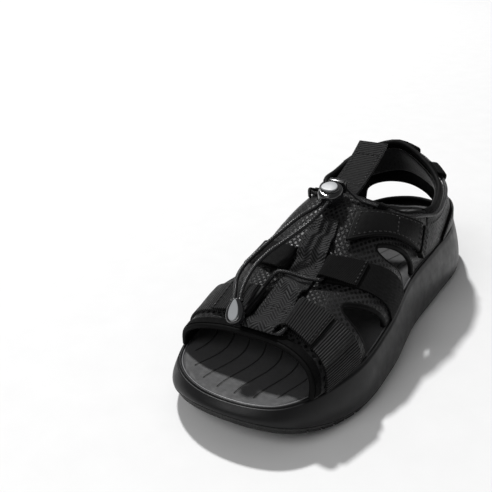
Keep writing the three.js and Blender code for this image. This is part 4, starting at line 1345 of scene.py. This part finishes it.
quarter_layer("quarter_lining", 0.05, LINING, lining, "lining", "quarter_lining")
quarter_layer("quarter_mesh", MESH_IN, MESH_OUT - MESH_IN, mesh_cloth, "mesh", "quarter_mesh")
bound_edge("window_binding",
           [around(t, h, TAPE_AT) for t, h in window_edge + window_edge[:1]], TAPE)
counter = ring_strip(
    "heel_counter", 32, 10, 4 / 24, 10 / 24, lambda u: 0.01,
    lambda u: 0.14 + 0.28 * math.sin(math.pi * clamp(u, 0.02, 0.98)) ** 0.8,
    WEB_IN + 0.85, WEBBING, strap_cloth)
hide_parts("heel_counter")
top_edge = [around(i / 80, 1.0, TAPE_AT) for i in range(81)]
back_run = [mix(-0.47, 0.7, i / 50) for i in range(51)]
back_points = [over(s, back_edge(s), TAPE_AT) for s in back_run]
bound_edge("collar_binding", top_edge, TAPE + 0.2)
bound_edge("back_binding", back_points, TAPE)
SEAM_STEPS = 24
for name, side, lean, curve in (("lateral", 1, 0.3, 1.8), ("medial", -1, 0.53, 2)):
    seam_run = []
    for i in range(SEAM_STEPS + 1):
        s = side * (1 - lean * (i / SEAM_STEPS) ** curve)
        seam_run.append(over(s, back_edge(s) + SEAM / 2, TAPE_AT + 0.1))
    bound_edge("seam_tape_" + name, seam_run, TAPE + 0.05)
top_length = sum((b - a).length for a, b in zip(top_edge, top_edge[1:]))
print("collar top edge in mm:", round(top_length))


# %% Collar pad
PAD = 3.2


def pad_ring(t):
    """The oval section of the pad at t, as twelve points round it."""
    full = clamp(math.sin(math.pi * clamp((t - 0.05) / 0.9)) * 6) ** 0.5
    ring = []
    for k in range(14):
        a = 2 * math.pi * k / 14
        h = 0.76 + 0.205 * math.cos(a) * mix(0.8, 1, full)
        depth = -GAP - (PAD / 2) + (PAD / 2) * math.sin(a) * mix(0.5, 1, full)
        channel = 0.35 * (math.sin(a) < -0.2) * math.cos((h - 0.76) * 60) ** 8
        ring.append(around(t, h, depth + channel))
    return ring


bm = bmesh.new()
first, last = loft(bm, [pad_ring(mix(0.05, 0.95, i / 80)) for i in range(81)])
bmesh.ops.contextual_create(bm, geom=first)
bmesh.ops.contextual_create(bm, geom=last)
bmesh.ops.recalc_face_normals(bm, faces=bm.faces[:])
collar_pad = to_piece("collar_cushion", bm, smooth_level=1)
pad_cloth = cloth("pad_cloth", (0.003, 0.003, 0.0033), (0.010, 0.010, 0.0107), dotted_jersey,
                  0.12, 0.62, 0.25, 0.2, source="Object")
clad(collar_pad, pad_cloth)
settle(collar_pad, "sandal", "lining", "collar_pad")
print("pad is", PAD, "mm thick")

# %% [markdown]
# Small loops of webbing hold the lace against the collar: three round the heel and one at
# each side of the instep. Each is a short strip with a hump for the lace.

# %% Keepers
LACE_HEIGHT = 0.88
KEEPER_ARCH = MESH_OUT + 2 * LACE_RADIUS + 2 * GAP - WEB_IN + 0.7


def hump(v):
    return math.cos(clamp(abs(v - 0.5) / 0.42) * math.pi / 2) ** 1.2


for name, t0, t1 in (
    ("heel_keeper_lateral", 0.34, 0.39), ("heel_keeper_back", 11 / 24, 14 / 24),
    ("heel_keeper_medial", 0.66, 0.71),
):
    keeper = ring_strip(name + "_loop", 6, 28, t0, t1, lambda u: LACE_HEIGHT - 0.13,
                        lambda u: LACE_HEIGHT + 0.12, MIDDLE + 0.15, WEBBING, twill,
                        lambda u, v: hump(v) * KEEPER_ARCH)
    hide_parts(name)


def lace_row(s):
    return back_edge(s) - 5


for name, s0, s1 in (("lace_keeper_lateral", 0.3, 0.37), ("lace_keeper_medial", -0.33, -0.26)):
    def bend(u, v, s0=s0, s1=s1):
        s = mix(s0, s1, u)
        return over(s, lace_row(s) - 4.6 + 9.2 * v, MIDDLE + hump(v) * KEEPER_ARCH)

    keeper = strip(name + "_loop", 6, 28, bend, 6.0, 13.0, WEBBING, 0.25)
    clad(keeper, twill)
    settle(keeper, "sandal", "webbing", name)
print("keepers: 5")

# %% [markdown]
# ## Ankle strap
# The strap closes over the instep with hook and loop. Its back end is sewn down, and the
# rest peels up round that seam, so the flap rides on its own moving body, and the sewn end
# and the loop patch under it stay with the sandal.

# %% Strap pieces
def strap_place(u, v):
    """The strap's four corners: the free end is u = 0 and the sewn end u = 1."""
    s = mix(mix(0.215, 0.96, u), mix(0.2, 0.8, u), v)
    return s, mix(mix(-29, 17, u), mix(-9, 26, u), v)


STITCHED = 0.86
LOOP_OUT = WEB_IN + 1
HOOK_IN = LOOP_OUT + GAP
FLAP_IN = HOOK_IN + 0.8 + GAP
FLAP = 1.6


def strap_strip(name, u0, u1, edge, offset, thickness, material, body, slot, node,
                columns=40, rows=12, crown=0.0):
    def bend(u, v):
        s, y = strap_place(mix(u0, u1, u), mix(edge, 1 - edge, v))
        rise = crown * (1 - abs(2 * v - 1) ** 4)
        return over(s, y, offset + rise)

    piece = strip(name, columns, rows, bend, 62 * (u1 - u0), 22 * (1 - 2 * edge), thickness, 0.45)
    clad(piece, material)
    settle(piece, body, slot, node)
    return piece


strap_strip("strap_flap_cloth", 0, STITCHED - 0.01, 0, FLAP_IN + FLAP / 2, FLAP, strap_cloth,
            "strap_flap", "strap", "ankle_strap", crown=0.35)
strap_strip("strap_anchor_cloth", STITCHED + 0.04, 1, 0, (WEB_IN + FLAP_IN + FLAP) / 2,
            FLAP_IN + FLAP - WEB_IN, strap_cloth, "sandal", "strap", "strap_anchor", 12)
strap_strip("hook_face", 0.03, 0.45, 0.08, HOOK_IN + 0.4, 0.8, hook_cloth, "strap_flap", "hook",
            "hook_patch", 24)
strap_strip("loop_face", 0.02, 0.84, 0.06, WEB_IN + 0.5, 1.0, hook_cloth, "sandal", "hook",
            "loop_patch")
print("strap peels behind u =", STITCHED)


def strap_point(u, v, offset):
    return over(*strap_place(u, v), offset)


# %% Strap edging
def edging(name, u0, u1, body):
    """A flat tape folded over the strap's two long edges and its end."""
    low = [strap_point(mix(u1, u0, i / 30), 0.012, FLAP_IN + FLAP / 2) for i in range(31)]
    end = [strap_point(u0 + 0.008, i / 12, FLAP_IN + FLAP / 2) for i in range(1, 12)]
    high = [strap_point(mix(u0, u1, i / 30), 0.988, FLAP_IN + FLAP / 2) for i in range(31)]
    return bound_edge(name, low + end + high, 0.95, body, "strap")


edging("flap_edging", 0.0, STITCHED - 0.012, "strap_flap")
print("strap edged")

# %% [markdown]
# ## Cord lock and clip
# The lock is a leaf-shaped body of glossy plastic with a sprung button. Both the body and
# the clip come from one leaf outline: a disc stretched in length, pushed up, and rounded
# with a bevel. The light leaf on top is a thin disc of the same kind; its pale grey is a
# painted reflection, the glare of a flat glossy top.

# %% Leaf-shaped mouldings
def leaf(name, width, length, low, high, bevel, place, point=0.0, segments=48):
    """A leaf-shaped block in its own axes, put in place by place(x, y, z), in mm."""
    bm = bmesh.new()
    bmesh.ops.create_circle(bm, cap_ends=True, segments=segments, radius=1.0)
    for vert in bm.verts:
        x, y = vert.co.x, vert.co.y
        narrow = 1 - point * (0.5 + 0.5 * y) ** 2
        vert.co = (math.copysign(abs(x) ** 0.86, x) * width / 2 * narrow,
                   math.copysign(abs(y) ** 0.92, y) * length / 2, low)
    grown = bmesh.ops.extrude_face_region(bm, geom=bm.faces[:], use_keep_orig=True)["geom"]
    for vert in (g for g in grown if isinstance(g, bmesh.types.BMVert)):
        vert.co.z = high
    bmesh.ops.recalc_face_normals(bm, faces=bm.faces[:])
    if bevel:
        rims = [e for e in bm.edges
                if len(e.link_faces) == 2 and e.calc_face_angle(0) > math.radians(50)]
        bmesh.ops.bevel(bm, geom=rims, offset=bevel, segments=4, profile=0.5, affect="EDGES",
                        material=-1)
    for vert in bm.verts:
        vert.co = (place(*vert.co) + SHIFT) * MM
    bmesh.ops.recalc_face_normals(bm, faces=bm.faces[:])
    mesh = to_piece(name, bm)
    mesh.data.set_sharp_from_angle(angle=math.radians(50))
    return mesh


def block(name, width, length, low, high, middle, bevel, place):
    """A rounded block in the axes of the lock."""
    bm = bmesh.new()
    bmesh.ops.create_cube(bm, size=1.0)
    for vert in bm.verts:
        vert.co = (vert.co.x * width, vert.co.y * length + middle,
                   low if vert.co.z < 0 else high)
    bmesh.ops.bevel(bm, geom=bm.edges[:], offset=bevel, segments=4, profile=0.5, affect="EDGES",
                    material=-1)
    for vert in bm.verts:
        vert.co = (place(*vert.co) + SHIFT) * MM
    bmesh.ops.recalc_face_normals(bm, faces=bm.faces[:])
    return to_piece(name, bm)


lock_body = leaf("lock_shell", LOCK_WIDTH, LOCK_LENGTH, 0, LOCK_HEIGHT, 1.8, in_lock)
clad(lock_body, plastic)
settle(lock_body, "cord_lock", "plastic", "cord_lock_body")
lock_waist = leaf("lock_collar", 12.6, 11.6, LOCK_HEIGHT - 0.3, LOCK_HEIGHT + 0.2, 0.2,
                 in_lock)
clad(lock_waist, plastic)
settle(lock_waist, "cord_lock", "plastic")
button = leaf("lock_push", 11.4, 9.8, BUTTON_LOW, BUTTON_TOP, 0.6, in_lock)
clad(button, plastic)
settle(button, "lock_button", "plastic", "cord_lock_button")
# A raised leaf; its pale grey is a painted reflection of the glossy top.
lock_leaf = leaf("lock_leaf", 10.4, 8.8, BUTTON_TOP - 0.1, BUTTON_TOP + 0.85, 0.35, in_lock,
                 point=0.3)
clad(lock_leaf, inlay)
settle(lock_leaf, "lock_button", "inlay", "cord_lock_inlay")
gather = block("gather_tie", 10.5, 3.6, 0.2, CORD_LEVEL + 2.9, GATHER_Y, 0.9, in_lock)
clad(gather, plastic)
settle(gather, "sandal", "plastic", "lace_gather")
clip_body = leaf("clip_drop", CLIP_WIDTH, CLIP_LENGTH, -CLIP_THICKNESS / 2, CLIP_THICKNESS / 2,
                 1.3, in_clip, point=0.45)
clad(clip_body, plastic)
settle(clip_body, "sandal", "plastic", "lace_end_clip")
# The clip's leaf is grey for the same reason: a painted reflection.
clip_leaf = leaf("clip_leaf", CLIP_WIDTH - 4.2, CLIP_LENGTH - 2.6, CLIP_THICKNESS / 2 - 0.2,
                 CLIP_THICKNESS / 2 + 0.7, 0.3, in_clip, point=0.62)
clad(clip_leaf, inlay)
settle(clip_leaf, "sandal", "inlay", "end_clip_inlay")
print("mouldings made")


# %% Cord mouths and spring
def ferrule(name, centre, axis, radius, wall, length, body, material):
    """A short ring that a cord goes through: a disc with a hole, pushed out."""
    bm = bmesh.new()
    turn = axis.to_track_quat("Z", "Y")
    rings = []
    for r, z in ((radius, 0), (radius, length), (radius + wall * 0.5, length + wall * 0.4),
                 (radius + wall, length), (radius + wall, 0)):
        rings.append([
            centre + turn @ Vector((r * math.cos(a), r * math.sin(a), z))
            for a in (2 * math.pi * k / 20 for k in range(20))
        ])
    loft(bm, rings + rings[:1])
    bmesh.ops.remove_doubles(bm, verts=bm.verts[:], dist=1e-7)
    bmesh.ops.recalc_face_normals(bm, faces=bm.faces[:])
    piece = to_piece(name, bm)
    clad(piece, material)
    settle(piece, body, "plastic")
    return piece


for side, word in ((1, "lateral"), (-1, "medial")):
    mouth = in_lock(side * CORD_SPREAD, -LOCK_LENGTH / 2 + 1.6, CORD_LEVEL)
    ferrule("lock_mouth_" + word, mouth, lock_front, 1.3, 0.6, 0.9, "cord_lock", plastic)
    mouth = in_clip(side * CLIP_SPREAD, CLIP_LENGTH / 2 - 1.4, 0)
    ferrule("clip_mouth_" + word, mouth, -clip_down, 1.2, 0.5, 1.1,
                                "sandal", plastic)
clad(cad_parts["cord_lock_spring"], steel)
print("cord mouths: 4")

# %% [markdown]
# ## Laced runs
# The rest of the lace is held: one length goes back and forth through the tunnels, and one
# goes round the ankle under the keepers. They are curves like the free ends.

# %% The lace over the instep
lace_front, front_length, _ = cord_curve("lace_crossing", [
    over_x(-5, -36, LACE_ON_MESH), over_x(-7.4, -37, LACE_ON_MESH), over_x(-11, -41, 4.7),
    tunnel_point("instep_webbing_medial", "back", 0.4),
    tunnel_point("instep_webbing_medial", "back", -6),
    tunnel_point("instep_webbing_medial", "front", -5),
    tunnel_point("instep_webbing_medial", "front", 0.8),
    over_x(-8.8, -67.4, 4.5), over_x(-3, -71.6, LACE_ON_MESH), over_x(3, -75.2, LACE_ON_MESH),
    over_x(9.4, -79, 4.5),
    tunnel_point("toe_webbing_lateral", "back", 0.8),
    tunnel_point("toe_webbing_lateral", "back", -6),
    tunnel_point("toe_webbing_lateral", "front", -5),
    tunnel_point("toe_webbing_lateral", "front", 0.5),
    over_x(10.4, -105, 4.7), over_x(6, -105.2, LACE_ON_MESH), over_x(0, -105, LACE_ON_MESH),
    over_x(-6, -104.8, LACE_ON_MESH), over_x(-10.4, -104.4, 4.7),
    tunnel_point("toe_webbing_medial", "front", 0.5),
    tunnel_point("toe_webbing_medial", "front", -6),
    tunnel_point("toe_webbing_medial", "back", -6),
    tunnel_point("toe_webbing_medial", "back", 0.8),
    over_x(-12.3, -74.5, 6.4), over_x(-9.6, -69.6, 9.4), over_x(-4.6, -67.4, 9),
    over_x(1.4, -66, 7.4), over_x(7, -65, 6.6),
    tunnel_point("instep_webbing_lateral", "front", 0.8),
    tunnel_point("instep_webbing_lateral", "front", -5),
    tunnel_point("instep_webbing_lateral", "back", -5),
    tunnel_point("instep_webbing_lateral", "back", 0.4),
    over_x(7, -40, 4.6), over_x(1.6, -37, LACE_ON_MESH), over_x(-1.4, -36, LACE_ON_MESH),
], LACE_RADIUS, 110)
clad(lace_front, lace_finish("crossing_braid", front_length / MM))
settle(lace_front, "sandal", "lace", "lace_front")


# %% The lace round the ankle
def row_point(s, offset=LACE_ON_MESH):
    return over(s, lace_row(s), offset)


heel_points = [in_lock(5.25 + 3 * GAP, GATHER_Y, 3), row_point(0.16, 4.6)]
heel_points += [row_point(s) for s in (0.25, 0.34, 0.43, 0.52, 0.6)]
heel_points.append(over(0.67, 25.4, LACE_ON_MESH))
heel_points += [around(mix(0.035, 0.965, i / 18), LACE_HEIGHT, LACE_ON_MESH) for i in range(19)]
heel_points.append(over(-0.5, 23, LACE_ON_MESH))
heel_points += [row_point(s) for s in (-0.42, -0.36, -0.3, -0.24)]
heel_points += [row_point(-0.17, 4.6), in_lock(-5.25 - 3 * GAP, GATHER_Y, 3)]
lace_heel, heel_length, _ = cord_curve("lace_round_heel", heel_points, LACE_RADIUS, 96)
clad(lace_heel, lace_finish("heel_braid", heel_length / MM))
settle(lace_heel, "sandal", "lace", "lace_heel")

# %% [markdown]
# ## Pull tab
# A loop of webbing stands up behind the lock, to pull the shoe on by. It is one strip
# folded at its tip, so it has two plies with a soft round fold between them.

# %% The tab
tab_root = over(s_at(-9, 8.6), 8.6, LINING)
tab_tip = Vector((-8.0, tab_root.y + 46, tab_root.z + 19))
TAB_WIDTH, TAB_PLY = 19.0, 0.95


def tab_point(u, v):
    """Up the lower ply, round the fold and back down the upper ply."""
    run = (tab_tip - tab_root).normalized()
    up = Vector((0, -run.z, run.y)).normalized()
    if v < 0.48:
        along, height = v / 0.48, 0.0
    elif v < 0.52:
        turn = (v - 0.48) / 0.04 * math.pi
        along, height = 1 + 0.011 * math.sin(turn), 0.5 - 0.5 * math.cos(turn)
    else:
        along, height = (1 - v) / 0.48, 1.0
    k = clamp(along)
    p = tab_root.lerp(tab_tip, along) + up * (height * 1.02 + 0.48 - 8.8 * k * (1 - k))
    return p + Vector(((u - 0.5) * TAB_WIDTH, 0, 0))


pull_tab = strip("pull_tab_loop", 12, 110, tab_point, TAB_WIDTH, 100.0, TAB_PLY, 0.25)
clad(pull_tab, toe_ribs)
settle(pull_tab, "tongue_tab", "webbing", "pull_tab")
print("tab is", round((tab_tip - tab_root).length, 1), "mm long")

# %% [markdown]
# ## Stitching
# Rows of stitches are what makes webbing look sewn. A stitch is a tiny grain of thread,
# and hundreds of them share one mesh for each moving body. Each is a small ball of twenty
# faces, stretched and laid along the row.

# %% Stitch rows
STITCH_LONG, STITCH_PITCH, STITCH_THICK = 2.2, 3.2, 0.5


def resample(points, pitch):
    """Places every pitch mm along the line through the points, with their directions."""
    places, carry = [], pitch / 2
    for a, b in zip(points, points[1:]):
        length = (b - a).length
        while carry < length:
            places.append((a.lerp(b, carry / length), (b - a).normalized()))
            carry += pitch
        carry -= length
    return places


def sew(bm, points, ups):
    """Sews a row along the points; ups gives the direction away from the cloth."""
    for place, along in resample(points, STITCH_PITCH):
        near = min(range(len(points)), key=lambda k: (points[k] - place).length_squared)
        up = (ups[near] - along * along.dot(ups[near])).normalized()
        across = up.cross(along)
        turn = Matrix((along, across, up)).transposed().to_4x4()
        grown = bmesh.ops.create_icosphere(bm, subdivisions=1, radius=0.5)["verts"]
        size = Matrix.Diagonal((STITCH_LONG, STITCH_THICK * 1.6, STITCH_THICK * 1.6, 1))
        spot = Matrix.Translation((place + SHIFT) * MM)
        bmesh.ops.transform(bm, matrix=spot @ turn @ (Matrix.Scale(MM, 4) @ size), verts=grown)


def seam(place, count=40):
    """A line on the last: place(i / count) gives s, y and offset."""
    spots = [place(i / count) for i in range(count + 1)]
    return [over(*spot) for spot in spots], [foot_normal(s, y) for s, y, _ in spots]


sandal_rows = []
for u in (0.1, 0.9):
    spots = [mix(-107, -18, i / 90) for i in range(91)]
    sandal_rows.append((
        [spine_point(u, (y + 108) / 91, WEB_OUT + 0.02) for y in spots],
        [foot_normal(0, y) for y in spots],
    ))
for y_row in (-91, -89, -62, -60, -53, -51.5, -24.5, -22.5, -20.5):
    v = (y_row + 108) / 91
    sandal_rows.append((
        [spine_point(0.1 + 0.8 * i / 10, v, WEB_OUT + 0.02) for i in range(11)],
        [foot_normal(0, y_row)] * 11,
    ))
sandal_rows.append(seam(lambda t: (mix(-0.97, 0.97, t), front_edge(mix(-0.97, 0.97, t)) + 3.4,
                                   MESH_OUT + 0.05), 80))
sandal_rows.append(seam(lambda t: (mix(-0.45, 0.66, t), back_edge(mix(-0.45, 0.66, t)) - 2.9,
                                   MESH_OUT + 0.05), 60))


def fold_seam(name, k):
    """A row across the folded run, k of the way down from the lace to the sole."""
    a, b, rim_front, rim_back = TUNNELS[name]
    side = math.copysign(1, a[0])
    points, ups = [], []
    for i in range(13):
        w = 0.04 + 0.92 * i / 12
        s_top, y_top = mix(s_at(*a), s_at(*b), w), mix(a[1], b[1], w)
        s, y = mix(s_top, side, k), mix(y_top, mix(rim_front, rim_back, w), k)
        points.append(over(s, y, WEB_OUT + (WEBBING + 0.45 if k < 0.34 else 0.05)))
        ups.append(foot_normal(s, y))
    return points, ups


for name in TUNNELS:
    for k in (0.19, 0.30):
        sandal_rows.append(fold_seam(name, k))
for u in (0.92, 0.955, 0.985):
    points = [strap_point(u, mix(0.06, 0.94, i / 10), FLAP_IN + FLAP + 0.02) for i in range(11)]
    sandal_rows.append((points, [foot_normal(*strap_place(u, i / 10)) for i in range(11)]))
for h in (0.70, 0.93):
    spots = [mix(0.03, 0.97, i / 120) for i in range(121)]
    sandal_rows.append(([around(t, h, MESH_OUT + 0.05) for t in spots],
                        [ring_normal(t, h) for t in spots]))
for drop in (0.025, 0.06):
    spots = [mix(0.01, 0.99, i / 90) for i in range(91)]
    rows = []
    for u in spots:
        t = mix(4 / 24, 10 / 24, u)
        h = 0.14 + 0.28 * math.sin(math.pi * u) ** 0.8 - drop
        rows.append((around(t, h, WEB_OUT + 0.22), ring_normal(t, h)))
    sandal_rows.append(([p for p, _ in rows], [n for _, n in rows]))
flap_rows = []
for v in (0.1, 0.9):
    spots = [mix(0.03, STITCHED - 0.03, i / 40) for i in range(41)]
    flap_rows.append((
        [strap_point(u, v, FLAP_IN + FLAP + 0.15) for u in spots],
        [foot_normal(*strap_place(u, v)) for u in spots],
    ))
for u in (0.05, 0.47, 0.80, 0.835):
    flap_rows.append((
        [strap_point(u, mix(0.1, 0.9, i / 12), FLAP_IN + FLAP + 0.37) for i in range(13)],
        [foot_normal(*strap_place(u, i / 12)) for i in range(13)],
    ))
tab_rows = []
tab_up = Vector((0, -(tab_tip - tab_root).z, (tab_tip - tab_root).y)).normalized()
for u in (0.1, 0.9):
    spots = [mix(0.56, 0.93, i / 50) for i in range(51)]
    tab_rows.append(([tab_point(u, v) + tab_up * 0.5 for v in spots], [tab_up] * 51))
for v in (0.62, 0.90):
    tab_rows.append((
        [tab_point(0.1 + 0.8 * i / 10, v) + tab_up * 0.5 for i in range(11)], [tab_up] * 11,
    ))
for name, rows, body, slot in (
    ("sandal_stitches", sandal_rows, "sandal", "lace"),
    ("flap_stitches", flap_rows, "strap_flap", "lace"),
    ("tab_stitches", tab_rows, "tongue_tab", "lace"),
):
    bm = bmesh.new()
    for points, ups in rows:
        sew(bm, points, ups)
    stitches = to_piece(name, bm)
    clad(stitches, thread)
    settle(stitches, body, slot)
    print(name, "faces:", len(stitches.data.polygons))

# %% [markdown]
# ## Floor and light
# A plain pale floor and two soft lamps. The strong one stands high behind the inner side,
# far enough off to light the floor evenly. It throws the shadow forward and to the outer
# side, and gives every rim and rib a thin highlight. A weaker lamp in front fills the toe.

# %% Floor and light
FLOOR_HALF = 6.0
bm = bmesh.new()
bmesh.ops.create_grid(bm, x_segments=1, y_segments=1, size=FLOOR_HALF)
floor = to_piece("floor", bm)
pale, *_ = moulded("pale_floor", (0.84, 0.84, 0.84), (0.86, 0.86, 0.86), 0.6, 0.7, 0.01, 0.01,
                   Specular_IOR_Level=0.1)
clad(floor, pale)


def soft_light(name, at, size, power):
    lamp = bpy.data.lights.new(name, "AREA")
    lamp.shape = "DISK"
    lamp.size = size
    lamp.energy = power
    piece = bpy.data.objects.new(name, lamp)
    piece.location = at
    aim = Vector((0, 0, 0.03)) - Vector(at)
    piece.rotation_euler = aim.to_track_quat("-Z", "Y").to_euler()
    bpy.context.scene.collection.objects.link(piece)


KEY_AT, KEY_SIZE, KEY_WATTS = (-2.14, 1.8, 4.28), 0.4, 230
FILL_AT, FILL_SIZE, FILL_WATTS = (-0.5, -1.7, 1.7), 1.4, 16
SKY_STRENGTH = 0.23
soft_light("key_light", KEY_AT, KEY_SIZE, KEY_WATTS)
soft_light("top_light", FILL_AT, FILL_SIZE, FILL_WATTS)
world = bpy.data.worlds.new("studio")
world.use_nodes = True
world.node_tree.nodes["Background"].inputs[0].default_value = (1, 1, 1, 1)
world.node_tree.nodes["Background"].inputs[1].default_value = SKY_STRENGTH
bpy.context.scene.world = world
bpy.context.scene.view_settings.view_transform = "Standard"
print("two lamps and a pale sky")
